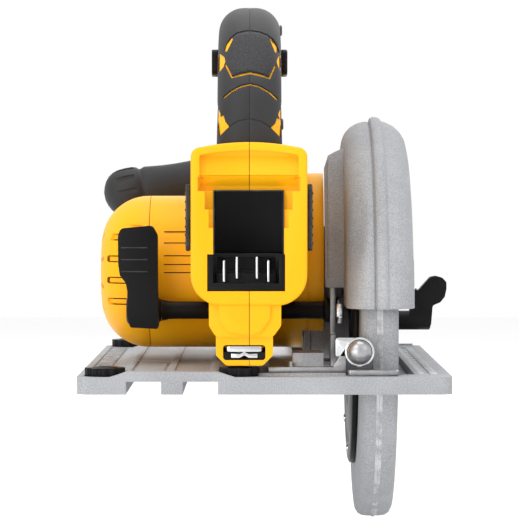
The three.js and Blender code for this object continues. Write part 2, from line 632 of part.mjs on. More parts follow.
function endCap() {
  const span = capRight - motorLeft;
  const profile = [[motorLeft, 0], [motorLeft, 22], [motorLeft + 3, 31], [motorLeft + 8, 36.5],
    [motorLeft + 15, 39.4], [motorLeft + 22, motorRadius], [capRight, motorRadius],
    [capRight, motorRadius - 2.5], [capRight - 2.5, motorRadius - 2.5], [capRight - 2.5, 9 + gap],
    [capRight - 12.5, 9 + gap], [capRight - 12.5, 12], [capRight - 6, 12], [capRight - 6, motorRadius - 3.5],
    [motorLeft + 16, 37], [motorLeft + 9.5, 34.4], [motorLeft + 5, 29.6], [motorLeft + 2.5, 21],
    [motorLeft + 2.5, 0]];
  let cap = turned('x', profile, motorCenter, 30);
  const rise = [18.7, 7.4, -3.7, -14.8];
  for (const z of rise) {
    const from = bladeY - motorRadius - 1;
    const [low, high] = [motorZ + z - 1.5, motorZ + z + 1.5];
    cap = cap.subtract(box(motorLeft + 5, motorLeft + span * 0.6, from, bladeY - 25, low, high));
  }
  return cap;
}

place('motor_housing', motorHousing(), 'yellow');
place('motor_end_cap', endCap(), 'yellow');

// ---- housing halves: dock, foot and spine ----
const bay = { left: -25.2, right: 9.5, low: 68.6, top: 100, deep: 52 };
const terminals = { left: -28.1, right: 10, low: 50.5, top: 68.2 };
const foot = { left: -23.9, right: 4.1, low: 13.9, rear: 5, front: 95 };
const gripRear = 18;
const gripFootZ = dock.top + gap;
const legTop = 110;

function leftOf(x) {
  return box(-200, x, -300, 300, -100, 300);
}
function rightOf(x) {
  return box(x, 200, -300, 300, -100, 300);
}
const clampZ = pivot.z;

function housingWhole() {
  const dockBlock = slab('y', roundedBox(dock.left, dock.right, dock.low, dock.top, 9), fromRear(1),
    fromRear(62), 1.2);
  const body = box(dock.left + 4.5, dock.right - 4.5, fromRear(50), bladeY, 46, legTop);
  const spine = box(foot.left, foot.right + 5, fromRear(60), pivotY - 39, 88, legTop);
  const frontShape = roundedBox(bladeY + 20, pivotY - 38, 52, legTop, 12);
  const front = slab('x', frontShape, foot.left, foot.right + 5, 0, 5);
  const wideShape = roundedBox(foot.left - 3.4, foot.right + 4, 31.7, 50, 3);
  const wide = slab('y', wideShape, fromRear(3), fromRear(foot.front));
  const lowShape = roundedBox(foot.left, foot.right, foot.low, 46, 6);
  const low = slab('y', lowShape, fromRear(foot.rear), fromRear(foot.front));
  const solidBody = unite(dockBlock, body, spine, front, wide, low);
  const rear = fromRear(0) - 1;
  const clampWay = rod('x', -60, 60, 3 + gap, [0, clampY, clampZ], 16);
  return cut(solidBody,
    motorShape(gap),
    box(bay.left, bay.right, rear, fromRear(bay.deep), bay.low, bay.top),
    box(terminals.left, terminals.right, rear, fromRear(bay.deep), terminals.low, bay.low + 0.01),
    box(bay.left - 3.8, bay.right + 3.8, fromRear(8), fromRear(45), 83, 98),
    box(dock.left + 3.2, dock.right - 3.6, rear, fromRear(9), bay.top - 0.01, dock.top - 5),
    box(-20.4, 0.4, rear, fromRear(90), 16.6, 24),
    box(foot.left + 3, foot.right - 3, fromRear(12), clampY - 8, 27.5, 44),
    box(dock.left + 8, dock.right - 8, fromRear(55), fromRear(80), 52, 106),
    clampWay);
}

function handlePath() {
  const route = [[34, 106], [31, 124], [38, 145], [60, 166], [92, 177], [126, 177], [156, 163], [175, 140],
    [182, 118], [184, 100]];
  return new THREE.CatmullRomCurve3(route.map(([y, z]) => new THREE.Vector3(seamX, fromRear(y), z)));
}

function handleSolid(inset, steps) {
  const section = roundedBox(-gripWidth / 2 + inset, gripWidth / 2 - inset, -gripDepth / 2 + inset,
    gripDepth / 2 - inset, 13 - inset);
  return solid(new THREE.ExtrudeGeometry(section, { steps, extrudePath: handlePath(), curveSegments: 3 }));
}

const triggerBox = { rear: 84, front: 120 };
const lockBar = { y0: 76, y1: 80, z0: 163, z1: 168, travel: 4 };

function handleWhole() {
  const shell = handleSolid(0, 16).subtract(handleSolid(gripWall, 16));
  return cut(shell,
    box(-60, 60, fromRear(gripRear) - 40, fromRear(66), 0, gripFootZ),
    box(-60, 60, fromRear(140), fromRear(240), 0, legTop + gap),
    box(seamX - 8.6, seamX + 8.6, fromRear(triggerBox.rear - 1), fromRear(triggerBox.front + 1), 148, 168),
    box(-40, 40, fromRear(lockBar.y0 - 1), fromRear(lockBar.y1 + 1), lockBar.z0 - lockBar.travel - 0.5,
      lockBar.z1 + 0.6));
}

function trigger() {
  const [rear, front] = [triggerBox.rear, triggerBox.front];
  const shape = outline([
    [fromRear(rear), 167], [fromRear(rear), 156], [fromRear(rear + 3), 150.5], [fromRear(rear + 12), 149.5],
    [fromRear(rear + 22), 152], [fromRear(rear + 29), 157], [fromRear(front), 162], [fromRear(front), 167]]);
  return slab('x', shape, seamX - 8, seamX + 8, 1).subtract(
    rod('x', -40, 40, 1.8, [0, fromRear(front - 4), 164.4], 10));
}

function pad(x0, x1) {
  const shape = roundedBox(fromRear(70), fromRear(88), 158.5, 172.7, 4);
  return slab('x', shape, x0, x1);
}

const whole = housingWhole();
place('housing_left', whole.intersect(leftOf(seamX - gap / 2)), 'yellow');
place('housing_right', whole.intersect(rightOf(seamX + gap / 2)), 'yellow');
const grips = handleWhole();
place('handle_left', grips.intersect(leftOf(seamX - gap / 2)), 'grip');
place('handle_right', grips.intersect(rightOf(seamX + gap / 2)), 'grip');
place('trigger', trigger(), 'black');
const padOut = gripWidth / 2;
const crossBar = box(seamX - padOut - 1, seamX + padOut + 0.3, fromRear(lockBar.y0), fromRear(lockBar.y1),
  lockBar.z0, lockBar.z1);
place('lock_off_bar', crossBar.add(pad(seamX - padOut - 3.4, seamX - padOut - 0.6)), 'black');
place('lock_off_pad_right', pad(seamX + padOut + 0.6, seamX + padOut + 3.4), 'black');
place('switch_body', box(seamX - 7, seamX + 7, fromRear(86), fromRear(112), 174.5, 188), 'black');
place('control_board', box(-26, 10, fromRear(60), fromRear(63), 54, 100), 'board');
place('terminal_block', box(terminals.left + gap, terminals.right - gap, fromRear(12),
  fromRear(bay.deep - 0.4), terminals.low + gap, terminals.top), 'black');
for (const [i, x] of [-19.9, -13.6, -3.8, 1.8].entries()) {
  const tab = box(x - 0.5, x + 0.5, fromRear(2.4), fromRear(12 - gap), 54, 66.5);
  place(`terminal_blade_${i + 1}`, tab, 'steel');
}
const strip = (x0, x1) => slab('y', roundedBox(x0, x1, 70, 103, 1), fromRear(5), fromRear(45));
place('side_strip_left', strip(dock.left - 2.6, dock.left - gap), 'black');
place('side_strip_right', strip(dock.right + gap, dock.right + 2.6), 'black');

// ---- front handle ----
function frontHandle() {
  const y = pivotY - 45;
  const end = foot.left - gap;
  const gripSide = seamX - gripWidth / 2 - gap;
  const profile = [[-89, 0], [-88, 5], [-84.5, 10.5], [-79, 13.1], [-72, 13.3], [-64, 12.2], [-54, 10.8],
    [-40, 10.3], [end + 6, 10.3], [end + 6, 0]];
  const bar = new THREE.LatheGeometry(profile.map(([u, r]) => new THREE.Vector2(r, u)), 24);
  bar.applyMatrix4(turnX);
  bar.translate(76, 0, 0);
  bar.rotateY(-0.2);
  bar.translate(-76, y, 99);
  return cut(solid(bar), rightOf(end), box(gripSide, 0, y - 40, y + 40, legTop, 200));
}
place('front_handle', frontHandle(), 'grip');

// ---- depth clamp ----
const clampCenter = [0, clampY, clampZ];
function sleeve(x0, x1) {
  return turned('x', [[x0, 3 + gap], [x0, 4.5], [x1, 4.5], [x1, 3 + gap], [x0, 3 + gap]], clampCenter, 20);
}

function depthLever() {
  const hub = rod('x', -71, -53.2, 7.2, clampCenter, 24);
  const rear = clampY - 17;
  const blade = slab('y', outline([
    [-70, clampZ - 8], [-56, clampZ - 8], [-55, clampZ], [-57, clampZ + 12], [-57.5, clampZ + 22],
    [-53.2, clampZ + 28], [-53.2, clampZ + 41], [-56, clampZ + 44.2], [-71, clampZ + 44.2],
    [-73.5, clampZ + 41], [-73.5, clampZ + 28], [-69.5, clampZ + 22], [-69, clampZ + 12],
  ]), rear, rear + 8, 1.2);
  const web = box(-69, -57, rear + 4, clampY, clampZ - 6.5, clampZ + 6.5);
  return cut(unite(hub, blade, web), rod('x', -60, -50, 3 + gap, clampCenter, 16));
}

place('depth_lever', depthLever(), 'black');
place('clamp_bolt', rod('x', -59.6, 42 - 1.5, 3, clampCenter, 16), 'steel');
place('clamp_sleeve_left', sleeve(-52.9, foot.left - 3.4 - gap), 'black');
place('clamp_sleeve_right', sleeve(foot.right + 4 + gap, arc.left - gap), 'black');
place('clamp_nut', cut(rod('x', arc.right + gap, upper.left - gap, 7, clampCenter, 6),
  rod('x', 30, 50, 3 + gap, clampCenter, 16)), 'steel');

// ---- blade wrench in its slot, and the spindle lock ----
function wrench() {
  const bar = slab('z', roundedBox(-19.9, -0.1, fromRear(6), fromRear(84), 3), 21.2, 23.4);
  const tongue = slab('y', outline([[-16.5, 17.6], [-11.5, 17.6], [-10, 19.2], [-8.5, 17.6], [-3.5, 17.6],
    [-3.5, 19.6], [-8, 19.6], [-10, 20.6], [-12, 19.6], [-16.5, 19.6]]), fromRear(6), fromRear(24));
  const bend = box(-16, -4, fromRear(20), fromRear(24), 18.4, 22);
  return unite(bar, tongue, bend);
}

function lockPlunger() {
  const start = bladeY + gearTip + 1.4;
  const button = bladeY + caseOuter + 11;
  const profile = [[start, 0], [start, 0.7], [start + 1.4, 0.9], [start + 2.6, 2.3], [button, 2.3],
    [button, 5], [button + 4, 5], [button + 4, 0]];
  return turned('y', profile, [lockX, 0, bladeZ], 16);
}

place('blade_wrench', wrench(), 'steel');
place('spindle_lock', lockPlunger(), 'black');

export default saw;
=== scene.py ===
import json
import math

import bmesh
import bpy
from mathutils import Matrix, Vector


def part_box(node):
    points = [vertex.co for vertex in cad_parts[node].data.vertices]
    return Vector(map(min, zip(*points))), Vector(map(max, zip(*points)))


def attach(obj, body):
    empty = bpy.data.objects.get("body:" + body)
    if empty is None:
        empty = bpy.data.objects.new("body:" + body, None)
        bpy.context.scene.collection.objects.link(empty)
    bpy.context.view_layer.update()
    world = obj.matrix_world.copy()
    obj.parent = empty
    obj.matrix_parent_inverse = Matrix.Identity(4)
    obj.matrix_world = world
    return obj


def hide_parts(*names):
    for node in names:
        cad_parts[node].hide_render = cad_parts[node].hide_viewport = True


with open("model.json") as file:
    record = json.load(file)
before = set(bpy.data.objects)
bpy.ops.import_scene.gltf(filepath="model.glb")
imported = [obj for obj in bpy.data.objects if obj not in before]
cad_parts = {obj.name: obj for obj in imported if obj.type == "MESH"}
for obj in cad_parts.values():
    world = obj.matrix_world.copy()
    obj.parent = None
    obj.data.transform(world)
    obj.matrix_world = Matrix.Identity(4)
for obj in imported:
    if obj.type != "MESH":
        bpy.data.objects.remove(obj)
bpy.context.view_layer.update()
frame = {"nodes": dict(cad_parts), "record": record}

bodyNodes = frame["record"]["behaviour"]["bodies"]
homeOf = {node: body for body, nodes in bodyNodes.items() for node in nodes}
mm = 0.001
stage = bpy.context.scene
print("saw: frame loaded with", len(homeOf), "solids")


def room(node):
    # a node's box in millimetres: x0, x1, y0, y1, z0, z1
    low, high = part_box(node)
    return [v / mm for pair in zip(low, high) for v in pair]


def middleOf(node):
    x0, x1, y0, y1, z0, z1 = room(node)
    return (x0 + x1) / 2, (y0 + y1) / 2, (z0 + z1) / 2


# a wrapped socket: +, - and * on it add Math nodes
class Tap:
    def __init__(self, web, socket):
        self.web, self.socket = web, socket

    def run(self, operation, first, second):
        return self.web.add("ShaderNodeMath", {"operation": operation}, {0: first, 1: second})

    def __add__(self, other):
        return self.run("ADD", self, other)

    def __sub__(self, other):
        return self.run("SUBTRACT", self, other)

    def __rsub__(self, other):
        return self.run("SUBTRACT", other, self)

    def __mul__(self, other):
        return self.run("MULTIPLY", self, other)

    __radd__ = __add__
    __rmul__ = __mul__


class Web:
    def __init__(self, name):
        self.material = bpy.data.materials.new(name)
        self.material.use_nodes = True
        self.tree = self.material.node_tree
        self.shader = self.tree.nodes["Principled BSDF"]
        self.spot = self.add("ShaderNodeTexCoord", out="Object")

    def add(self, kind, settings=None, values=None, out=0):
        node = self.tree.nodes.new(kind)
        for key, value in (settings or {}).items():
            setattr(node, key, value)
        for key, value in (values or {}).items():
            self.feed(node.inputs[key], value)
        return Tap(self, node.outputs[out])

    def feed(self, socket, value):
        if isinstance(value, Tap):
            self.tree.links.new(value.socket, socket)
        else:
            socket.default_value = value

    def noise(self, scale, detail=2.0, stretch=None, rough=0.55):
        spot = self.spot
        if stretch:
            spot = self.add("ShaderNodeMapping", None, {"Vector": spot, "Scale": stretch})
        values = {"Vector": spot, "Scale": scale, "Detail": detail, "Roughness": rough}
        return self.add("ShaderNodeTexNoise", None, values)

    def clamp(self, tap, low, high):
        values = {"Value": tap, "From Min": low, "From Max": high}
        return self.add("ShaderNodeMapRange", {"clamp": True}, values)

    def tint(self, factor, first, second):
        ends = {6: first, 7: second}
        mixed = {k: v if isinstance(v, Tap) else (*v, 1) for k, v in ends.items()}
        return self.add("ShaderNodeMix", {"data_type": "RGBA"}, {0: factor, **mixed}, out=2)

    def paint(self, **inputs):
        for key, value in inputs.items():
            self.feed(self.shader.inputs[key.replace("_", " ")], value)
        return self.material

    def bump(self, height, strength, distance):
        values = {"Height": height, "Strength": strength, "Distance": distance}
        self.feed(self.shader.inputs["Normal"], self.add("ShaderNodeBump", None, values))


# dark and light: the two tones the surface wanders between; the third: the tone of the edges, partly rubbed wear and
# partly a painted highlight
finishes = {
    "castGrey": dict(dark=(.225, .229, .240), light=(.475, .483, .500), worn=(.62, .63, .65), grain=1800,
                     cloud=30, contrast=.7, metal=0, rough=(.60, .76), bump=.45, depth=.00018, shine=.09),
    "yellow": dict(dark=(.90, .405, .003), light=(1.0, .485, .006), worn=(1.0, .58, .04), grain=2600,
                   cloud=14, contrast=.25, metal=0, rough=(.36, .48), bump=.10, depth=.00006, shine=.18),
    "grip": dict(dark=(.017, .017, .0185), light=(.036, .036, .039), worn=(.06, .06, .064), grain=2000,
                 cloud=22, contrast=.4, metal=0, rough=(.50, .66), bump=.35, depth=.00010, shine=.32),
    "stipple": dict(dark=(.014, .014, .0155), light=(.048, .048, .051), worn=(.06, .06, .064), grain=1100,
                    cloud=25, contrast=.7, metal=0, rough=(.58, .76), bump=.9, depth=.00025, shine=.28),
    "black": dict(dark=(.0035, .0035, .004), light=(.009, .009, .010), worn=(.02, .02, .022), grain=2400,
                  cloud=30, contrast=.4, metal=0, rough=(.34, .48), bump=.22, depth=.00008, shine=.13),
    "chrome": dict(dark=(.50, .50, .51), light=(.74, .74, .75), worn=(.86, .86, .87), grain=700,
                   cloud=60, contrast=.3, metal=1, rough=(.14, .26), bump=.05, depth=.00004, shine=.5),
    "domed": dict(dark=(.30, .30, .31), light=(.52, .52, .53), worn=(.7, .7, .71), grain=500,
                  cloud=160, contrast=.4, metal=.9, rough=(.26, .4), bump=.1, depth=.00005, shine=.5),
    "steel": dict(dark=(.22, .22, .228), light=(.42, .42, .43), worn=(.66, .66, .67), grain=900,
                  cloud=40, contrast=.5, metal=.9, rough=(.28, .42), bump=.12, depth=.00005,
                  stretch=(1, 6, 1), shine=.5),
    "darkSteel": dict(dark=(.045, .045, .048), light=(.11, .11, .115), worn=(.30, .30, .31), grain=1200,
                      cloud=50, contrast=.5, metal=.9, rough=(.35, .5), bump=.2, depth=.00006, shine=.4),
    "copper": dict(dark=(.32, .12, .05), light=(.60, .27, .12), worn=(.8, .4, .2), grain=300,
                   cloud=40, contrast=.6, metal=1, rough=(.3, .45), bump=.5, depth=.0003,
                   stretch=(1, 8, 8), shine=.5),
    "board": dict(dark=(.01, .05, .02), light=(.02, .10, .04), worn=(.05, .2, .1), grain=600,
                  cloud=90, contrast=.5, metal=0, rough=(.4, .55), bump=.2, depth=.00008, shine=.5),
    "tickPaint": dict(dark=(.60, .60, .60), light=(.82, .82, .82), worn=(.9, .9, .9), grain=1800,
                      cloud=80, contrast=.4, metal=0, rough=(.5, .65), bump=.2, depth=.00005, shine=.3),
}
made = {}


def finish(name, worn=False):
    # one material a finish, and a second for its edges, lighter as rubbed wear and as a painted highlight
    key = name + ("Worn" if worn else "")
    if key in made:
        return made[key]
    look = finishes[name]
    web = Web(key)
    fine = web.noise(look["grain"], 2, look.get("stretch"))
    cloud = web.noise(look["cloud"], 3)
    swing = .132 / look["contrast"]  # more contrast, steeper grain
    speck = web.clamp(fine, .5 - swing, .5 + swing)
    tone = speck * look["contrast"] + web.clamp(cloud, .3, .7) * (1 - look["contrast"])
    colour = web.tint(tone, look["dark"], look["light"])
    low, high = look["rough"]
    rough = low + cloud * (high - low)
    # the edge material: noise patches of the lighter edge tone, partly rubbed wear and partly a painted highlight
    if worn:
        wearAndHighlightPatch = web.clamp(web.noise(160, 4), .42, .62)
        colour = web.tint(wearAndHighlightPatch, colour, look["worn"])
        rough = rough - wearAndHighlightPatch * .08
    web.bump(fine + .15 * cloud, look["bump"], look["depth"])
    made[key] = web.paint(Base_Color=colour, Roughness=rough, Metallic=look["metal"],
                          Specular_IOR_Level=look["shine"])
    return made[key]


# solids are made in millimetres and kept in metres
def spread(along, u, v, w):
    return {"x": (w, u, v), "y": (u, w, v), "z": (u, v, w)}[along]


def placed(name, data):
    obj = bpy.data.objects.new(name, data)
    stage.collection.objects.link(obj)
    return obj


def solid(verts, faces):
    mesh = bpy.data.meshes.new("blank")
    mesh.from_pydata([[c * mm for c in v] for v in verts], [], faces)
    work = bmesh.new()
    work.from_mesh(mesh)
    bmesh.ops.remove_doubles(work, verts=work.verts, dist=2e-6)
    bmesh.ops.dissolve_degenerate(work, edges=work.edges, dist=1e-7)
    bmesh.ops.recalc_face_normals(work, faces=work.faces)
    work.to_mesh(mesh)
    work.free()
    return placed("blank", mesh)


def slab(along, outline, low, high):
    # along x the outline is (Y, Z), along y (X, Z), along z (X, Y); low and high may be one value a point
    n = len(outline)
    lows = low if isinstance(low, list) else [low] * n
    highs = high if isinstance(high, list) else [high] * n
    verts = [spread(along, u, v, w) for (u, v), w in zip(outline, lows)]
    verts += [spread(along, u, v, w) for (u, v), w in zip(outline, highs)]
    sides = [[i, (i + 1) % n, n + (i + 1) % n, n + i] for i in range(n)]
    return solid(verts, [list(range(n)), list(range(2 * n - 1, n - 1, -1)), *sides])


def box(x0, x1, y0, y1, z0, z1):
    return slab("z", [(x0, y0), (x1, y0), (x1, y1), (x0, y1)], z0, z1)


def rounded(points, radius, steps=6):
    # the outline with each corner eased; radius is one value or one a corner
    radii = radius if isinstance(radius, list) else [radius] * len(points)
    out = []
    for i, r in enumerate(radii):
        here = Vector(points[i])
        back, on = Vector(points[i - 1]) - here, Vector(points[(i + 1) % len(points)]) - here
        if r <= 0:
            out.append(tuple(here))
            continue
        reach = r / math.tan(max(back.angle(on), .05) / 2)
        reach = min(reach, back.length * .49, on.length * .49)
        a, b = here + back.normalized() * reach, here + on.normalized() * reach
        for k in range(steps + 1):
            t = k / steps
            out.append(tuple(a * (1 - t) ** 2 + here * 2 * t * (1 - t) + b * t * t))
    return out


def roundBox(u0, u1, v0, v1, radius, steps=8):
    out = []
    for cu, cv, start in ((u1 - radius, v0 + radius, -90), (u1 - radius, v1 - radius, 0),
                          (u0 + radius, v1 - radius, 90), (u0 + radius, v0 + radius, 180)):
        for k in range(steps + 1):
            turn = math.radians(start + 90 * k / steps)
            out.append((cu + radius * math.cos(turn), cv + radius * math.sin(turn)))
    return out


def sweepArc(u, v, radius, start, end, steps=32):
    turns = [math.radians(start + (end - start) * k / steps) for k in range(steps + 1)]
    return [(u + radius * math.cos(t), v + radius * math.sin(t)) for t in turns]


def band(u0, v0, r0, u1, v1, r1, steps=20):
    # the loop round two circles
    head = math.atan2(v1 - v0, u1 - u0)
    lean = math.acos((r0 - r1) / math.hypot(u1 - u0, v1 - v0))
    deg = math.degrees
    return (sweepArc(u0, v0, r0, deg(head + lean), deg(head - lean) + 360, steps)
            + sweepArc(u1, v1, r1, deg(head - lean), deg(head + lean), steps))


def ribbon(points, width):
    # an open line of points as an outline of that width
    left, right = [], []
    for i, p in enumerate(points):
        a = Vector(points[max(i - 1, 0)])
        b = Vector(points[min(i + 1, len(points) - 1)])
        side = (b - a).normalized().orthogonal() * width / 2
        left.append(tuple(Vector(p) + side))
        right.append(tuple(Vector(p) - side))
    return left + right[::-1]


def turned(along, profile, center, steps=96, tweak=None):
    # a closed profile of (along, radius) points turned about an axis through the centre
    ring = profile if profile[0] == profile[-1] else profile + [profile[0]]
    ring = ring[:-1]
    n = len(ring)
    verts, faces = [], []
    for k in range(steps):
        turn = 2 * math.pi * k / steps
        for u, r in ring:
            reach = tweak(u, r, turn) if tweak else r
            a, b = reach * math.cos(turn), reach * math.sin(turn)
            cx, cy, cz = center
            verts.append({"x": (u, cy + a, cz + b), "y": (cx + a, u, cz + b), "z": (cx + a, cy + b, u)}[along])
        for i in range(n):
            j, nxt = (i + 1) % n, (k + 1) % steps
            if ring[i][1] == 0 and ring[j][1] == 0:
                continue
            faces.append([k * n + i, k * n + j, nxt * n + j, nxt * n + i])
    return solid(verts, faces)


def rod(along, low, high, radius, center, steps=48, ease=0):
    e = ease
    profile = [(low, 0), (low, radius - e), (low + e, radius), (high - e, radius), (high, radius - e), (high, 0)]
    if not e:
        profile = [(low, 0), (low, radius), (high, radius), (high, 0)]
    return turned(along, profile, center, steps)


def bake(obj):
    graph = bpy.context.evaluated_depsgraph_get()
    mesh = bpy.data.meshes.new_from_object(obj.evaluated_get(graph), depsgraph=graph)
    obj.modifiers.clear()
    obj.data = mesh
    return obj


def combine(obj, operation, tools):
    for tool in tools:
        step = obj.modifiers.new("step", "BOOLEAN")
        step.operation, step.solver, step.object = operation, "MANIFOLD", tool
    bake(obj)
    for tool in tools:
        bpy.data.objects.remove(tool)
    return obj


def cut(obj, *tools):
    return combine(obj, "DIFFERENCE", tools)


def join(obj, *tools):
    return combine(obj, "UNION", tools)


def keep(obj, *tools):
    return combine(obj, "INTERSECT", tools)


def twin(obj):
    return placed(obj.name, obj.data.copy())


def nodeCopy(node):
    # a CAD node's own shape as a welded mesh that can be cut and softened
    mesh = frame["nodes"][node].data.copy()
    mesh.materials.clear()
    tidy = bmesh.new()
    tidy.from_mesh(mesh)
    bmesh.ops.remove_doubles(tidy, verts=tidy.verts, dist=1e-6)
    for face in tidy.faces:
        face.material_index = 0
    tidy.to_mesh(mesh)
    tidy.free()
    return placed("blank", mesh)


def finished(obj, name, look, part, ease=.5, sharp=32, rings=2):
    # softens the edges, gives the finish and hands the piece over
    # part is the CAD node that the piece stands for, two of them, or the body that an added piece rides on
    nodes = part if isinstance(part, tuple) else (part,) if part in homeOf else ()
    obj.name = obj.data.name = name
    flat = bmesh.new()
    flat.from_mesh(obj.data)
    bmesh.ops.remove_doubles(flat, verts=flat.verts, dist=3e-6)
    bmesh.ops.dissolve_limit(flat, angle_limit=math.radians(.6), verts=flat.verts, edges=flat.edges)
    flat.to_mesh(obj.data)
    flat.free()
    obj.data.materials.clear()
    obj.data.materials.append(finish(look))
    if ease:
        # the bevel faces take the second material: lighter edges that are partly wear and partly a painted highlight
        obj.data.materials.append(finish(look, worn=True))
        soft = obj.modifiers.new("soft", "BEVEL")
        soft.width, soft.segments, soft.limit_method = ease * mm, rings, "ANGLE"
        soft.angle_limit, soft.material, soft.miter_outer = math.radians(sharp), 1, "MITER_ARC"
        bake(obj)
    obj.data.shade_smooth()
    obj.data.set_sharp_from_angle(angle=math.radians(sharp))
    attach(obj, homeOf[nodes[0]] if nodes else part)
    if nodes:
        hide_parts(*nodes)
    return obj


# one Geometry Nodes tree repeats a seed along a line and round a pivot
def growRepeat():
    tree = bpy.data.node_groups.new("repeatSeed", "GeometryNodeTree")
    face = tree.interface
    face.new_socket("Geometry", in_out="OUTPUT", socket_type="NodeSocketGeometry")
    kinds = {"Seed": "Object", "Count": "Int", "Pivot": "Vector", "Step": "Vector", "Turn": "Vector",
             "Finish": "Material"}
    for name, kind in kinds.items():
        face.new_socket(name, in_out="INPUT", socket_type="NodeSocket" + kind)

    def add(kind, **settings):
        node = tree.nodes.new(kind)
        for key, value in settings.items():
            setattr(node, key, value)
        return node

    def link(start, out, end, into):
        tree.links.new(start.outputs[out], end.inputs[into])

    given = add("NodeGroupInput")
    seed = add("GeometryNodeObjectInfo")
    back = add("ShaderNodeVectorMath", operation="SCALE")
    back.inputs["Scale"].default_value = -1
    shift = add("GeometryNodeTransform")
    line = add("GeometryNodeMeshLine")
    index = add("GeometryNodeInputIndex")
    turn = add("ShaderNodeVectorMath", operation="SCALE")
    put = add("GeometryNodeInstanceOnPoints")
    real = add("GeometryNodeRealizeInstances")
    dress = add("GeometryNodeSetMaterial")
    end = add("NodeGroupOutput")
    link(given, "Seed", seed, "Object")
    link(given, "Pivot", back, 0)
    link(seed, "Geometry", shift, "Geometry")
    link(back, 0, shift, "Translation")
    link(given, "Count", line, "Count")
    link(given, "Pivot", line, "Start Location")
    link(given, "Step", line, "Offset")
    link(given, "Turn", turn, 0)
    link(index, 0, turn, "Scale")
    link(line, 0, put, "Points")
    link(shift, 0, put, "Instance")
    link(turn, 0, put, "Rotation")
    link(put, 0, real, 0)
    link(real, 0, dress, "Geometry")
    link(given, "Finish", dress, "Material")
    link(dress, 0, end, 0)
    return tree


repeatSeed = growRepeat()
seedPlug = {item.name: item.identifier for item in repeatSeed.interface.items_tree if item.in_out == "INPUT"}


def repeat(seed, count, look, step=(0, 0, 0), turn=(0, 0, 0), pivot=(0, 0, 0)):
    host = placed("row", bpy.data.meshes.new("row"))
    grow = host.modifiers.new("grow", "NODES")
    grow.node_group = repeatSeed
    values = {"Seed": seed, "Count": count, "Pivot": [v * mm for v in pivot], "Step": [v * mm for v in step],
              "Turn": [math.radians(v) for v in turn], "Finish": finish(look)}
    for key, value in values.items():
        grow[seedPlug[key]] = value
    host.update_tag()
    bake(host)
    bpy.data.objects.remove(seed)
    return host


print("saw: finishes and tools ready")

# the common axes, read off the frame
bladeX, bladeY, bladeZ = middleOf("saw_blade")
bladeRadius = (room("saw_blade")[5] - room("saw_blade")[4]) / 2
motorZ = middleOf("stator")[2]
_, pivotY, pivotZ = middleOf("depth_pivot_pin")
_, clampY, clampZ = middleOf("clamp_bolt")
tiltX, _, tiltZ = middleOf("rear_pivot_rivet")
bladeSpot = (0, bladeY, bladeZ)
motorSpot = (0, bladeY, motorZ)

rearEdge = room("base_plate")[2]
knobCorners = ("rear_left", "rear_middle", "front_left", "front_middle")


def fromRear(distance):
    return rearEdge + distance


def gearPassage():
    # the opening that the gear case fills, from the spindle up to the motor
    return band(bladeY, bladeZ, 26.8, bladeY, motorZ, 24.3)


def arcBand(inner, outer, low, high, steps):
    # a strip round the depth pivot, behind it, from one angle above the level to another
    return (sweepArc(pivotY, pivotZ, outer, 180 - low, 180 - high, steps)
            + sweepArc(pivotY, pivotZ, inner, 180 - high, 180 - low, steps))


def arcSpot(degrees):
    # where the clamp bolt is on its arc at this much swing
    turn = math.radians(degrees)
    radius = pivotY - clampY
    return 0, pivotY - radius * math.cos(turn), pivotZ + radius * math.sin(turn)


# base plate: slot, channel and panel are where they are cut, bridge is the raised strip
baseLook = {
    "thick": 8.5, "corner": 7, "bridge": (-67.5, -23), "slope": 8.5, "grooveX": (-59.3, -31.45),
    "grooveHalf": 8.6, "grooveDepth": 6.3, "slot": (9.5, 16, 69), "channel": (69, 74.6, 4.2),
    "panel": (-65.6, -48, -134, -53), "ruler": (77, 86), "tickGap": 5, "ribGap": 11,
    "numberX": 81, "numberTall": 3.6, "numberGap": 20,
}


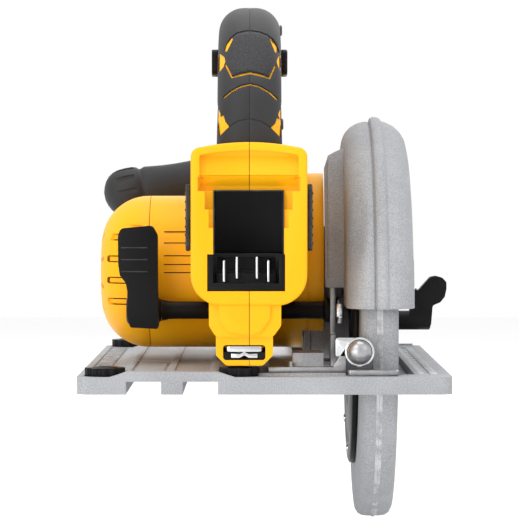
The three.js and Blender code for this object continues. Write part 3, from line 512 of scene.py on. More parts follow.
def basePlate(look):
    x0, x1, y0, y1, _, top = room("base_plate")
    thick = look["thick"]
    left, right = look["bridge"]
    plate = slab("z", roundBox(x0, x1, y0, y1, look["corner"]), 0, thick)
    rise = slab("y", [(left - look["slope"], thick - 1), (right + look["slope"], thick - 1),
                      (right + look["slope"], thick), (right, top), (left, top), (left - look["slope"], thick)],
                y0 + .01, y1 - .01)
    join(plate, rise, slab("z", roundBox(x0 + 4, x1 - 4, y1 - 6.4, y1 - 3.4, 1.4), thick - 1, thick + 1.1))
    tools = []
    for x in look["grooveX"]:
        tools.append(box(x - look["grooveHalf"], x + look["grooveHalf"], y0 - 2, y1 + 2, -1, look["grooveDepth"]))
    low, high, slotRight = look["slot"]
    tools.append(slab("y", [(low - .7, -1), (slotRight, -1), (slotRight, 12), (high + .7, 12)],
                      bladeY - 107.5, bladeY + 110.5))
    a, b, depth = look["channel"]
    tools.append(box(a - 1, b, bladeY - 103, bladeY + 106, thick - depth, 12))
    for corner in knobCorners:
        spot = (*middleOf("knob_" + corner)[:2], 0)
        tools.append(rod("z", thick - 1, 20, 10.6, spot, 64))
        tools.append(rod("z", -1, thick, 3.2, spot, 24))
    tools.append(slab("z", [(bladeX - 1.5, y1 - 7), (bladeX + 1.5, y1 - 7), (bladeX + 4, y1 + 2),
                            (bladeX - 4, y1 + 2)], -1, 12))
    track = look["numberX"]
    tools.append(slab("z", roundBox(track - 1.35, track + 1.35, -125, 108, .6), thick - .32, thick + 2))
    u0, u1, v0, v1 = look["panel"]
    tools.append(slab("z", roundBox(u0, u1, v0, v1, 1.5), top - .7, top + 2))
    tools.append(slab("z", roundBox(-44.5, -27, v0, 118, 1.5), top - .8, top + 2))
    tools.append(slab("z", roundBox(-65.6, -48, v1 + 7, 118, 1.5), top - .8, top + 2))
    tools.append(slab("z", roundBox(-12.6, 6.2, -112, 118, 2), thick - 1.2, thick + 2))
    tools.append(slab("z", roundBox(x0 + 3.5, left - 10.4, -118, 118, 1.5), thick - .8, thick + 2))
    cut(plate, *tools)
    join(plate, box(-3, 40, fromRear(11.5), fromRear(17), thick - 1, thick + 1.2))
    inset = slab("z", roundBox(u0 + 1.6, u1 - 1.6, v0 + 1.6, v1 - 1.6, 1), top - 1, top - .15)
    join(plate, inset)
    finished(plate, "basePlate", "castGrey", "base_plate", .55)
    ribs = repeat(slab("z", roundBox(x0 + 4.2, left - 11.4, -112, -108.6, 1.4, 3), thick - 1.2, thick - .1),
                  21, "castGrey", step=(0, look["ribGap"], 0))
    finished(ribs, "baseLeftRibs", "castGrey", "base", .25)
    r0, r1 = look["ruler"]
    tick = [(r0, -120), (r0 + 2.6, -119.7), (r0 + 2.6, -119.3), (r0, -119)]
    small = repeat(slab("z", tick, thick - .2, thick + .22), 48, "tickPaint", step=(0, look["tickGap"], 0))
    finished(small, "baseRulerTicks", "tickPaint", "base", 0)
    mark = [(r1 - 3.5, -119.9), (r1, -121.2), (r1, -117.8), (r1 - 3.5, -119.1)]
    large = repeat(slab("z", mark, thick - .2, thick + .25), 24, "tickPaint", step=(0, look["tickGap"] * 2, 0))
    finished(large, "baseRulerMarks", "tickPaint", "base", 0)


def rulerNumbers(look):
    for i in range(12):
        line = bpy.data.curves.new("number", "FONT")
        line.body, line.size, line.extrude = str(i), look["numberTall"] * mm, .1 * mm
        line.align_x = line.align_y = "CENTER"
        text = placed("rulerNumber" + str(i), line)
        graph = bpy.context.evaluated_depsgraph_get()
        mesh = bpy.data.meshes.new_from_object(text.evaluated_get(graph), depsgraph=graph)
        bpy.data.objects.remove(text)
        for v in mesh.vertices:
            x, y, z = v.co
            along = (-119 + look["numberGap"] * i) * mm + x
            v.co = (look["numberX"] * mm - y, along, (look["thick"] - .16) * mm + z)
        piece = placed("rulerNumber" + str(i), mesh)
        mesh.materials.append(finish("tickPaint"))
        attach(piece, "base")


def railKnobs():
    for corner in knobCorners:
        node = "knob_" + corner
        x, y, _ = middleOf(node)
        z0, z1 = room(node)[4:]
        turns = [2 * math.pi * k / 96 for k in range(96)]
        reach = [9.5 + .5 * math.cos(12 * t) for t in turns]
        lobes = [(x + r * math.cos(t), y + r * math.sin(t)) for r, t in zip(reach, turns)]
        head = slab("z", lobes, 7.9, z1 - .5)
        join(head, turned("z", [(z1 - 1, 0), (z1 - 1, 6.6), (z1 - .2, 6.2), (z1, 5.2), (z1, 0)], (x, y, 0), 48),
             rod("z", z0, 8.4, 3, (x, y, 0), 32))
        cut(head, turned("z", [(z1 - 2, 0), (z1 - 2, 3.3), (z1 + 1, 3.3), (z1 + 1, 0)], (x, y, 0), 6))
        finished(head, "railKnob" + corner.title().replace("_", ""), "black", node, .7, rings=3)


basePlate(baseLook)
rulerNumbers(baseLook)
railKnobs()
print("saw: base")

# bevel brackets, tilting frame and depth arc
frameLook = {"hook": [(35.2, 17.6), (35.2, 26.9), (47.2, 26.9), (47.2, 12), (42.4, 12), (41.2, 17.6)],
             "post": (12.9, -122), "block": (14, 29.4, -118, -92, 18.9)}


def bevelWorks(look):
    y0, y1 = room("rear_pivot_rivet")[2:4]
    back = y0 + 4.6
    dome = [(back - 4.6 * math.sin(a), 5.9 * math.cos(a)) for a in [math.pi / 2 * k / 14 for k in range(15)]]
    profile = dome[::-1][:-1] + [(back, 5.9), (back, 3), (y1 - 1.6, 3), (y1 - 1.6, 4.3), (y1, 4), (y1, 0)]
    rivet = turned("y", profile, (tiltX, 0, tiltZ), 72)
    finished(rivet, "rearPivotRivet", "domed", "rear_pivot_rivet", 0)

    x0, _, y0, y1, z0, _ = room("rear_pivot_bracket")
    ring = slab("y", sweepArc(tiltX, tiltZ, 7.3, -58, 238, 60) + [(tiltX, tiltZ - 7.6)], y1 - 3, y1)
    cut(ring, turned("y", [(y1 - 4, 6.1), (y1 - 2.4, 6.1), (y1 - 2.4, 3.3), (y1 + 1, 3.3), (y1 + 1, 0),
                           (y1 - 4, 0)], (tiltX, 0, tiltZ), 64))
    finished(ring, "rearPivotBracket", "chrome", "rear_pivot_bracket", .4)
    # a stem under the ring in the dark steel finish; its darkness is painted shade for the shadow on the ear's lower
    # part
    leg = box(tiltX - 6.8, tiltX + 6.8, y1 - 2.7, y1 - .3, z0, tiltZ - 1)
    cut(leg, rod("y", y1 - 9, y1 + 5, 7.31, (tiltX, 0, tiltZ)))
    finished(leg, "rearPivotLeg", "darkSteel", "base", .3)
    foot = slab("z", roundBox(x0 + 1, 66, y0, y1, 1.6), z0, z0 + 2.6)
    finished(foot, "rearPivotFoot", "steel", "base", .4)

    body = nodeCopy("bevel_frame")
    fy0, fz0 = room("bevel_frame")[2], room("bevel_frame")[4]
    hook = slab("y", rounded(look["hook"], [1, 1.6, 0, 0, 0, 1]), fy0, fy0 + 3)
    cut(hook, rod("y", fy0 - 5, fy0 + 5, 3.3, (tiltX, 0, tiltZ)))
    x, y = look["post"]
    b = look["block"]
    finished(hook, "bevelFrameHook", "chrome", homeOf["bevel_frame"], .4)
    join(body, rod("z", fz0 + 1, fz0 + 5.6, 1.3, (x, y, 0), 24),
         box(b[0], b[1], b[2], b[3], fz0 + 1, b[4]))
    finished(body, "bevelFrame", "steel", "bevel_frame", .45)

    finished(nodeCopy("front_bevel_bracket"), "frontBevelBracket", "castGrey", "front_bevel_bracket", .5)
    for node, name in (("front_bevel_pin", "frontBevelPin"), ("depth_pivot_pin", "depthPivotPin")):
        finished(nodeCopy(node), name, "steel", node, .4)
    finished(nodeCopy("bevel_clamp_rod"), "bevelClampRod", "steel", "bevel_clamp_rod", .3)


arcLook = {"half": 6.4, "slot": 3.4, "swing": 26.2, "marks": 14, "markStep": 2}


def depthArc(look):
    x0, x1, y0, _, z0, _ = room("depth_arc")
    radius, half, slot, end = pivotY - clampY, look["half"], look["slot"], look["swing"]
    plate = slab("x", arcBand(radius - half, radius + half, -6, end, 40), x0, x1)
    join(plate, rod("x", x0, x1, half, arcSpot(end), 64), box(x0, x1, y0, clampY + 16, z0, pivotZ - 12))
    cut(plate, slab("x", arcBand(radius - slot, radius + slot, -1.4, end, 40), x0 - 2, x1 + 2),
        rod("x", x0 - 3, x1 + 3, slot - .01, arcSpot(end), 40))
    finished(plate, "depthArcPlate", "steel", "depth_arc", .35)
    mark = slab("x", roundBox(clampY - 6.1, clampY - 3.9, pivotZ - .25, pivotZ + .25, .2, 2), x0 - .14, x0 + .1)
    ticks = repeat(mark, look["marks"], "black", turn=(-look["markStep"], 0, 0), pivot=(0, pivotY, pivotZ))
    finished(ticks, "depthArcMarks", "black", "carriage", 0)


leverLook = {"rodHigh": 24.3, "wing": [
    (84.6, 20.5), (86, 42), (90.4, 42), (97.2, 49.6), (100.4, 50.2), (104.2, 49.2), (106.6, 46.6), (106.6, 42.6),
    (105.6, 38), (103, 34.8), (98.6, 33), (97.6, 20.5)]}


def bevelLever(look):
    x0, _, y0, y1, _, _ = room("bevel_lever")
    rodY, rodZ = (y0 + y1) / 2, look["rodHigh"]
    hub = rod("x", x0, 97.4, 5.6, (0, rodY, rodZ), 48, .8)
    wing = slab("y", rounded(look["wing"], 2.2), y0 + .6, y0 + 10)
    join(hub, wing)
    cut(hub, rod("x", x0 - 5, 96.2, 3.45, (0, rodY, rodZ)),
        slab("x", roundBox(y0 + 2.6, y0 + 8, 38, 47, 1.5), 99, 105))
    finished(hub, "bevelLever", "black", "bevel_lever", 1.1, rings=3)
    nub = rod("z", 41.2, 43.2, 1.3, (88.2, rodY, 0), 24, .4)
    finished(nub, "bevelLeverScrew", "chrome", "bevel_clamp", 0)


bevelWorks(frameLook)
depthArc(arcLook)
bevelLever(leverLook)
print("saw: frame and levers")

guardLook = {
    # (X, radius) round the outside of the upper guard, left sill to right sill
    "outer": [(41, 0), (41, 90), *[(54.4 - 13.3 * math.cos(math.radians(6 * k)),
                                    96 + 12.4 * math.sin(math.radians(6 * k))) for k in range(16)],
              (55.2, 107.6), (55.5, 108.8), (56, 110.2), (57.4, 111), (59.6, 110.8), (61, 110), (61.8, 108.8),
              (64.4, 108), (68, 106.2), (71.2, 103.4), (73.6, 99.6), (74.8, 94), (75, 88), (75, 84), (74.3, 83),
              (74.3, 30), (75, 29), (75, 0)],
    "inner": [(43.2, 0), (43.2, 94), (46.5, 96.5), (48.4, 99.8), (50.4, 102), (54, 103.5), (67, 103.5), (71, 101),
              (72.8, 97), (72.8, 0)],
    "sill": 41, "scoopDeep": 3.2, "step": 134.5, "skirt": 65,
}


def upperGuard(look):
    def shape(u, r, turn):
        # behind the blade the dome meets the chute: a step up, then a scoop on the left that narrows downward
        if r < 90:
            return r
        angle = math.degrees(math.atan2(math.sin(turn), math.cos(turn)))
        behind = angle if angle > 0 else angle + 360
        rise = 1 / (1 + math.exp((look["step"] - behind) / .8))
        edge = 52.5 - max(0, behind - 143) * .34
        scoop = rise / (1 + math.exp((u - edge) / 1.1)) / (1 + math.exp((143 - behind) / 3))
        ledge = 1.1 if u > 62 else .8 * math.exp(-((u - 51) / 3) ** 2)
        return r + ledge * rise - look["scoopDeep"] * scoop * min(1, (r - 90) / 10)

    shell = turned("x", look["outer"], bladeSpot, 216, shape)
    inner = turned("x", look["inner"], bladeSpot, 144)
    cut(shell, twin(inner), box(0, 100, bladeY - 130, pivotY - 9, -100, look["sill"]))
    left = look["outer"][0][0]
    hull = rounded([(pivotY - 3, pivotZ - 7), (pivotY + 5.5, pivotZ - 5), (pivotY + 6, pivotZ + 4.5),
                    (pivotY - 14, pivotZ + 26), (pivotY - 46, pivotZ + 40), (pivotY - 46, 41), (pivotY - 14, 41)],
                   [3, 3, 4, 6, 0, 0, 4])
    arm = slab("x", hull, 36, left + 2.2)
    cut(arm, inner)
    boss = rod("x", 23.9, left + 2.2, 7.5, (0, pivotY, pivotZ), 48)
    skirt = rod("x", 73.8, 75, 95.4, bladeSpot, 144, .4)
    cut(skirt, rod("x", 70, 80, 60, bladeSpot, 96), box(70, 80, -300, 300, look["skirt"], 300),
        box(70, 80, -300, 300, -300, look["sill"] + .01))
    join(shell, arm, boss, shoulder(left), skirt)
    cut(shell, rod("x", 20, 50, 4.3, (0, pivotY, pivotZ)), rod("x", left - 1, left + 3, 20.3, bladeSpot, 64),
        slab("x", gearPassage(), 20, left - .01))
    finished(shell, "upperGuard", "castGrey", "upper_guard", .6, sharp=36)
    screw = turned("x", [(72, 0), (72, 2.8), (75.6, 2.8), (76, 2.4), (76, 1.1), (75.2, 1), (75.2, 0)],
                   (0, bladeY, bladeZ + 74), 24)
    screws = repeat(screw, 3, "darkSteel", turn=(36, 0, 0), pivot=bladeSpot)
    finished(screws, "upperGuardScrews", "darkSteel", "saw_body", 0)


def shoulder(left):
    # the hollow cover over the depth arc, down the guard's left side
    radius, half, start = pivotY - clampY, 7.6, 31.4
    hollow = slab("x", arcBand(radius - half, radius + half, -2, 26, 36), 33.3, left - .6)
    join(hollow, rod("x", 33.31, left - .61, half - .4, arcSpot(26), 64))
    outer = slab("x", arcBand(radius - half - 2, radius + half + 2.6, 2, 28.4, 36), start + 1.6, left + .6)
    join(outer, slab("x", arcBand(radius - half + 1, radius + half - .6, 2, 27.9, 36), start, left))
    slope = slab("y", [(28, 106), (start, 111.4), (33.3, 118), (36, 119.6), (left + 1, 122.4), (left + 1, 140),
                       (28, 140)], pivotY - 190, pivotY - 120)
    cut(outer, twin(hollow), slope, box(20, 60, clampY - 40, clampY + 120, -20, 50))
    ledge = slab("y", roundBox(start + .4, left + .5, 50, 55, 1), pivotY - 175, clampY - 6)
    cut(ledge, hollow)
    return join(outer, ledge)


lowerLook = {
    "profile": [(48, 70), (48, 95), (48.3, 97.4), (49.6, 99.6), (51.8, 100.7), (54, 101), (56.4, 101), (57, 101.6),
                (58, 101.6), (58.6, 101), (61, 101), (63.6, 100.6), (65.6, 99.4), (66.8, 97.2), (67, 95),
                (67, 60), (66.4, 59.4), (65.2, 59.4), (65, 60), (65, 95.6), (62.5, 99), (52.5, 99), (50, 95.6),
                (50, 70)],
}


def lowerGuard(look):
    ring = turned("x", look["profile"], bladeSpot, 180)
    cut(ring, box(0, 100, bladeY - 130, bladeY + 130, bladeZ + 16, 200))
    finished(ring, "lowerGuard", "castGrey", "lower_guard", .35, sharp=40)
    x0, x1, _, _, z0, z1 = room("lower_guard_disc")
    r = (z1 - z0) / 2
    disc = turned("x", [(x0, 20.3), (x0, 58), (x0 + .7, 59.5), (x0 + .7, 62), (x0, 63.5), (x0, r - 2.2),
                        (x0 + .6, r - .6), (x0 + 1.6, r), (x1, r), (x1, 20.3)], bladeSpot, 120)
    seed = rod("x", x0 - .02, x0 + 1, 2.6, (0, bladeY, bladeZ - 40), 24)
    holes = repeat(seed, 8, "black", turn=(45, 0, 0), pivot=bladeSpot)
    cut(disc, holes)
    finished(disc, "lowerGuardDisc", "black", "lower_guard_disc", .4)
    stud = turned("x", [(x0 - 1.1, 0), (x0 - 1.1, 1.2), (x0 - .7, 2.2), (x0 + .2, 2.7), (x0 + .5, 2.7), (x0 + .5, 0)],
                  (0, bladeY - 4, bladeZ - 65), 32)
    studs = repeat(stud, 3, "chrome", turn=(40, 0, 0), pivot=bladeSpot)
    finished(studs, "lowerGuardRivets", "chrome", "retracting_guard", 0)


upperGuard(guardLook)
lowerGuard(lowerLook)
finished(nodeCopy("gear_case"), "gearCase", "castGrey", "gear_case", .5)
finished(nodeCopy("gear_cover"), "gearCover", "castGrey", "gear_cover", .4)
print("saw: guards")

bladeLook = {"teeth": 24, "slots": 6, "tip": 1.0}


def sawBlade(look):
    pitch = 360 / look["teeth"]
    points = []
    for i in range(look["teeth"]):
        for share, radius in ((0, 0), (.12, -.5), (.32, -1.5), (.56, -2.6), (.68, -3.6), (.74, -6), (.79, -8.6),
                              (.87, -9.6), (.94, -8.8), (.985, -6.4)):
            turn = math.radians(-(i + share) * pitch)
            reach = bladeRadius - .3 + radius
            points.append((bladeY + reach * math.cos(turn), bladeZ + reach * math.sin(turn)))
    plate = slab("x", points[::-1], bladeX - .55, bladeX + .55)
    rim = bladeRadius - 9.4
    slot = slab("x", [(bladeY + rim - 17, bladeZ - .35), (bladeY + rim + 3, bladeZ - .9),
                      (bladeY + rim + 3, bladeZ + .1), (bladeY + rim - 17, bladeZ + .35)], bladeX - 2, bladeX + 2)
    hole = rod("x", bladeX - 2, bladeX + 2, 1.6, (0, bladeY + rim - 18, bladeZ), 24)
    join(slot, hole)
    slots = repeat(slot, look["slots"], "steel", turn=(-360 / look["slots"], 0, 0), pivot=bladeSpot)
    cut(plate, slots, rod("x", bladeX - 3, bladeX + 3, 8.3, bladeSpot, 48))
    finished(plate, "sawBladePlate", "steel", "saw_blade", .12)
    back = bladeRadius - 6
    tip = slab("x", [(bladeY + back, bladeZ - 1.9), (bladeY + bladeRadius, bladeZ - 1.5),
                     (bladeY + bladeRadius, bladeZ + .15), (bladeY + back + .6, bladeZ - .1)],
               bladeX - look["tip"] * .9, bladeX + look["tip"] * .9)
    tips = repeat(tip, look["teeth"], "darkSteel", turn=(-pitch, 0, 0), pivot=bladeSpot)
    finished(tips, "sawBladeTips", "darkSteel", "blade_drive", .1)


sawBlade(bladeLook)
for node, name, look in (("outer_flange", "outerFlange", "darkSteel"), ("blade_bolt", "bladeBolt", "darkSteel"),
                         ("inner_flange", "innerFlange", "darkSteel"), ("spindle_lock", "spindleLock", "black")):
    finished(nodeCopy(node), name, look, node, .4)
print("saw: blade")

motorLook = {"radius": 40.2, "wall": 2.5, "capRight": -60, "right": 31, "flareLeft": 12, "flareLow": 19.5,
             "flareTop": 109, "flareReach": 40, "flareRadius": 34, "vents": (18.7, 7.4, -3.7, -14.8)}


def motorShape(look, grow):
    tube = rod("x", look["capRight"] + .3, look["right"], look["radius"] + grow, motorSpot, 128)
    ends = roundBox(bladeY - look["flareReach"] - grow, bladeY + look["flareReach"] + grow,
                    look["flareLow"] - grow, look["flareTop"] + grow, look["flareRadius"] + grow, 24)
    return join(tube, slab("x", ends, look["flareLeft"] - grow, look["right"] + max(grow, 0)))


def motorHousing(look):
    shell = motorShape(look, 0)
    wall = look["wall"]
    ends = roundBox(bladeY - 40 + wall, bladeY + 40 - wall, look["flareLow"] + wall, look["flareTop"] - wall,
                    look["flareRadius"] - wall, 20)
    bandCut = roundBox(bladeY - 44, bladeY + 44, look["flareLow"] - 4, look["flareTop"] + 4, 38, 20)
    inBand = roundBox(bladeY - 39.2, bladeY + 39.2, look["flareLow"] + .8, look["flareTop"] - .8, 33.2, 20)
    groove = slab("x", bandCut, 21.6, 22.8)
    cut(groove, slab("x", inBand, 21, 23.4))
    lip = turned("x", [(-3, 39.5), (-3, 42), (-2.2, 42), (-2.2, 39.5)], motorSpot, 96)
    cut(shell, rod("x", look["capRight"] - 5, look["right"] + 5, look["radius"] - wall, motorSpot, 96),
        slab("x", ends, look["flareLeft"] + wall, look["right"] + 5),
        slab("x", gearPassage(), 20, look["right"] + 5),
        rod("y", bladeY, bladeY + 60, 2.6, (31, 0, bladeZ), 24), groove, lip)
    finished(shell, "motorHousing", "yellow", "motor_housing", .5)
    panel = turned("x", [(-53, 40.1), (-53, 40.42), (-24.6, 40.42), (-24.6, 40.1)], motorSpot, 144)
    side = slab("x", [(bladeY, motorZ), *sweepArc(bladeY, motorZ, 70, 150, 212, 12)], -60, -20)
    keep(panel, side)
    finished(panel, "motorPlate", "yellow", "saw_body", .12)
    for i, z in enumerate((78.4, 72.6, 66, 61.5, 57.3)):
        line = turned("x", [(-52, 40.3), (-52, 40.56), (-25.4, 40.56), (-25.4, 40.3)], motorSpot, 360)
        keep(line, box(-60, -20, bladeY - 60, bladeY, z - .22, z + .22))
        finished(line, "motorPlateRule" + str(i), "black", "saw_body", 0)


def endCap(look):
    x0, x1, y0, y1, _, _ = room("motor_end_cap")
    r = look["radius"]
    curve = [(x0 + 25 * (1 - math.cos(a)), r * (1 - (1 - math.sin(a)) * .62)) for a in
             [math.pi / 2 * k / 16 for k in range(17)]]
    outer = [(x0, 0), (x0, 12)] + [(x0, r * .38)] + curve[1:] + [(x1, r)]
    inner = [(x1, r - 2.5), (x1 - 2.5, r - 2.5), (x1 - 2.5, 9.3), (x1 - 12.5, 9.3), (x1 - 12.5, 12), (x1 - 6, 12),
             (x1 - 6, r - 3.2), (x0 + 16, r - 3.6), (x0 + 8, r - 9), (x0 + 4, r * .5), (x0 + 2.5, 12), (x0 + 2.5, 0)]
    cap = turned("x", outer + inner, motorSpot, 128)
    low, high = motorZ - 20, motorZ + 25
    sink = turned("x", [(x0 - 3, r - 1.5), (x0 - 3, r + 4), (x1 - 3.5, r + 4), (x1 - 3.5, r - 1.1),
                        (x0 + 12, r - 2.2)], motorSpot, 128)
    tools = []
    for side in (-1, 1):
        for rise in look["vents"]:
            z = motorZ + rise
            a, b = sorted((bladeY + side * 25, bladeY + side * (r + 2)))
            tools.append(slab("y", roundBox(x0 + 4, x1 - 7, z - 1.8, z + 1.8, 1.2, 4), a, b))
    keep(sink, box(-100, -50, y0 - 10, bladeY - 8, low, high))
    slots = repeat(slab("x", roundBox(bladeY - 1.2, bladeY + 1.2, motorZ + 11, motorZ + 25, 1.2, 4), x0 - 2, x0 + 7),
                   10, "black", turn=(36, 0, 0), pivot=motorSpot)
    cut(cap, sink, slots, *tools)
    finished(cap, "motorEndCap", "yellow", "motor_end_cap", .5)
    liner = turned("x", [(x0 + 5.5, 0), (x0 + 5.5, 20), (x0 + 9.5, 31), (x0 + 17, 36), (x1 - 7, 36.2), (x1 - 7, 35),
                         (x0 + 17, 34.8), (x0 + 10.5, 30), (x0 + 6.6, 19.6), (x0 + 6.6, 0)], motorSpot, 64)
    finished(liner, "motorDustMesh", "black", "saw_body", 0)
    face = [(x0 + 5.5, 29.3), (x0 + 8, 31.9), (x0 + 12, 35.2), (x0 + 18, 37.8), (x0 + 25, 38.9), (x1 - 7.4, 38.9)]
    slats = turned("x", face + [(x, r - 1.3) for x, r in face[::-1]], motorSpot, 96)
    bars = [box(-100, -50, y0 - 5, y1 + 5, motorZ + v - 1.2, motorZ + v + 1.2) for v in look["vents"]]
    join(bars[0], *bars[1:])
    keep(slats, bars[0])
    finished(slats, "motorLouvres", "yellow", "saw_body", .2)


motorHousing(motorLook)
endCap(motorLook)
print("saw: motor")

# the yellow housing; bay: left, right, low, top and how deep; terminals: left, right, low; foot: left, right, low
dockLook = {"left": -36.2, "right": 20.9, "low": 43.4, "top": 123.4, "seam": -7.5, "arch": 2.4,
            "topRound": 5, "lowRound": 15, "bay": (-25.2, 9.5, 68.6, 100, 52),
            "terminals": (-28.1, 10, 50.5), "foot": (-23.9, 4.1, 13.9)}


def housing(look):
    left, right, low, top = look["left"], look["right"], look["low"], look["top"]
    seam = look["seam"]
    middle, half = (left + right) / 2, (right - left) / 2
    small, large = look["topRound"], look["lowRound"]
    crown = [(middle + t * (half - small), top - look["arch"] * t * t) for t in [k / 12 - 1 for k in range(25)]]
    high = top - look["arch"] - small
    edge = sweepArc(right - small, high, small, 85, 0, 8)
    edge += sweepArc(right - large, low + large, large, 0, -90, 12)
    edge += sweepArc(left + large, low + large, large, -90, -180, 12)
    edge += sweepArc(left + small, high, small, 180, 95, 8)
    block = slab("y", crown + edge, fromRear(1), fromRear(62))
    soft = block.modifiers.new("soft", "BEVEL")
    soft.width, soft.segments, soft.limit_method, soft.angle_limit = 1.6 * mm, 4, "ANGLE", math.radians(50)
    bake(block)
    legTop = 110
    fl, fr, fz = look["foot"]
    body = box(left + 4.5, right - 4.5, fromRear(50), bladeY, 46, legTop)
    spine = box(fl, fr + 5, fromRear(60), pivotY - 39, 88, legTop)
    front = slab("x", roundBox(bladeY + 20, pivotY - 38, 52, legTop, 12), fl, fr + 5)
    wide = slab("y", rounded([(fl - 3.4, 50), (fl - 3.4, 33.5), (fl, 28), (fr, 28), (fr + 4, 33.5), (fr + 4, 50)],
                             [0, 3, 4, 4, 3, 0]), fromRear(3.6), fromRear(95))
    lowFoot = slab("y", rounded([(fl, 46), (fl, 19), (fl + 5, fz), (fr - 5, fz), (fr, 19), (fr, 46)],
                                [0, 3, 3, 3, 3, 0]), fromRear(5), fromRear(95))
    bulge = slab("y", rounded([(fl + 1.4, 48), (fl + 1.4, 37), (fl + 6, 30.5), (seam, 29), (fr - 6, 30.5),
                               (fr - 1.4, 37), (fr - 1.4, 48)], [0, 5, 5, 8, 5, 5, 0]), fromRear(2.2), fromRear(20))
    join(block, body, spine, front, wide, lowFoot, bulge)
    rear = fromRear(0) - 1
    b0, b1, bz0, bz1, deep = look["bay"]
    t0, t1, tz0 = look["terminals"]
    # the battery's rail seat: an arched hollow with a ridge across it
    shelf = slab("x", rounded([(rear, 121), (fromRear(5.6), 121), (fromRear(6.4), 117), (fromRear(3.7), 108.7),
                               (fromRear(3.3), 107.4), (fromRear(4.6), 106.9), (fromRear(8.6), 102),
                               (fromRear(8.6), bz1 - .5), (rear, bz1 - .5)], [0, 1, 3, 2, .3, .3, 2, 0, 0]),
                 left + 3, right - 3)
    arch = [(middle + t * (half - 4.3), top - 3.9 - look["arch"] * t * t) for t in
            [1 - 2 * k / 20 for k in range(21)]]
    rim = [(left + 4.3, bz1 - 2), (right - 4.3, bz1 - 2)]
    keep(shelf, slab("y", rounded(arch + rim, [4] + [0] * 19 + [4, 0, 0]), rear - 1, fromRear(20)))
    lowerShelf = box(left + 3.5, left + 6, rear, fromRear(6.4), bz1 - .4, 106.4)
    otherShelf = box(right - 6, right - 3.5, rear, fromRear(6.4), bz1 - .4, 106.4)
    cut(block, motorShape(motorLook, .3),
        box(b0, b1, rear, fromRear(deep), bz0, bz1), box(t0, t1, rear, fromRear(deep), tz0, bz0 + .01),
        shelf, lowerShelf, otherShelf, box(b0 - 3.8, b1 + 3.8, fromRear(8), fromRear(45), 83, 98),
        box(b0 - 4.1, b0 + 1, rear, fromRear(5), 90.5, bz1), box(b1 - 1, b1 + 4.1, rear, fromRear(5), 90.5, bz1),
        box(b0 - 2.2, b0 + 1, rear, fromRear(3.4), 81.5, 91), box(b1 - 1, b1 + 2.2, rear, fromRear(3.4), 81.5, 91),
        slab("y", roundBox(-20.4, .4, 16.6, 24, 1.6), rear, fromRear(90)),
        box(fl + 3, fr - 3, fromRear(12), clampY - 8, 27.5, 44),
        box(left + 8, right - 8, fromRear(55), fromRear(80), 52, 106),
        rod("x", -60, 60, 3.3, (0, clampY, clampZ), 32))
    for side, name, node in ((-1, "housingLeft", "housing_left"), (1, "housingRight", "housing_right")):
        part = twin(block)
        a, b = sorted((seam + side * .15, side * 200))
        keep(part, box(a, b, -300, 300, -100, 300))
        finished(part, name, "yellow", node, .55)
    bpy.data.objects.remove(block)
    shell = box(b0 + .1, b1 - .1, fromRear(2.2), fromRear(deep) - .1, bz0 + .1, bz1 - .1)
    cut(shell, box(b0 + .6, b1 - .6, rear, fromRear(deep) - .9, bz0 - 1, bz1 - .6))
    finished(shell, "bayLining", "grip", "saw_body", .2)


def terminalBlock(look):
    x0, x1, y0, y1, z0, _ = room("terminal_block")
    z1 = look["bay"][2] + .3
    block = box(x0, x1, y0, y1, z0, z1)
    near = fromRear(1.6)
    join(block, box(x0, x0 + 2.6, near, y0 + 1, z0, z1), box(x1 - 2.6, x1, near, y0 + 1, z0, z1),
         box(x0, x1, near, y0 + 1, z0, z0 + 3.6),
         box(x0 + 4, x1 - 4, y0 - 5, y0 + 1, z0 + 3, z0 + 8.4))
    cut(block, box(x0 + 4.6, x1 - 4.6, y0 - 1, y0 + 3, z0 + 10, z1 - 2))
    finished(block, "terminalBlock", "black", "terminal_block", .45)
    for i in range(1, 5):
        node = "terminal_blade_" + str(i)
        x0, x1, y0, y1, z0, z1 = room(node)
        tall = 1.2 if i in (2, 3) else -.6
        shape = rounded([(y0, z0 + 1 + tall), (y0, z1 + tall), (y1 + 4, z1 + tall), (y1 + 4, z0 + 1 + tall)],
                        [1.4, 1.4, 0, 0])
        finished(slab("x", shape, x0, x1), "terminalBlade" + str(i), "chrome", node, .25)


def sideStrips():
    for side in ("left", "right"):
        x0, x1, y0, y1, z0, z1 = room("side_strip_" + side)
        strip = slab("x", rounded([(y0, z0 + 3), (y0, z1 - 3), (y0 + 3, z1), (y1 - 5, z1), (y1, z1 - 6), (y1, z0 + 6),
                                   (y1 - 5, z0), (y0 + 3, z0)], 2), x0, x1)
        ribSeed = slab("x", roundBox(y0 + 6, y1 - 6, z0 + 3.2, z0 + 4.4, .5, 3),
                       *((x0 - .5, x0 + .1) if side == "left" else (x1 - .1, x1 + .5)))
        finished(strip, "sideStrip" + side.title(), "stipple", "side_strip_" + side, .8, rings=3)
        ribs = repeat(ribSeed, 7, "stipple", step=(0, 0, 4.1))
        finished(ribs, "sideStripRibs" + side.title(), "stipple", "saw_body", .2)


housing(dockLook)
terminalBlock(dockLook)
sideStrips()
print("saw: housing")

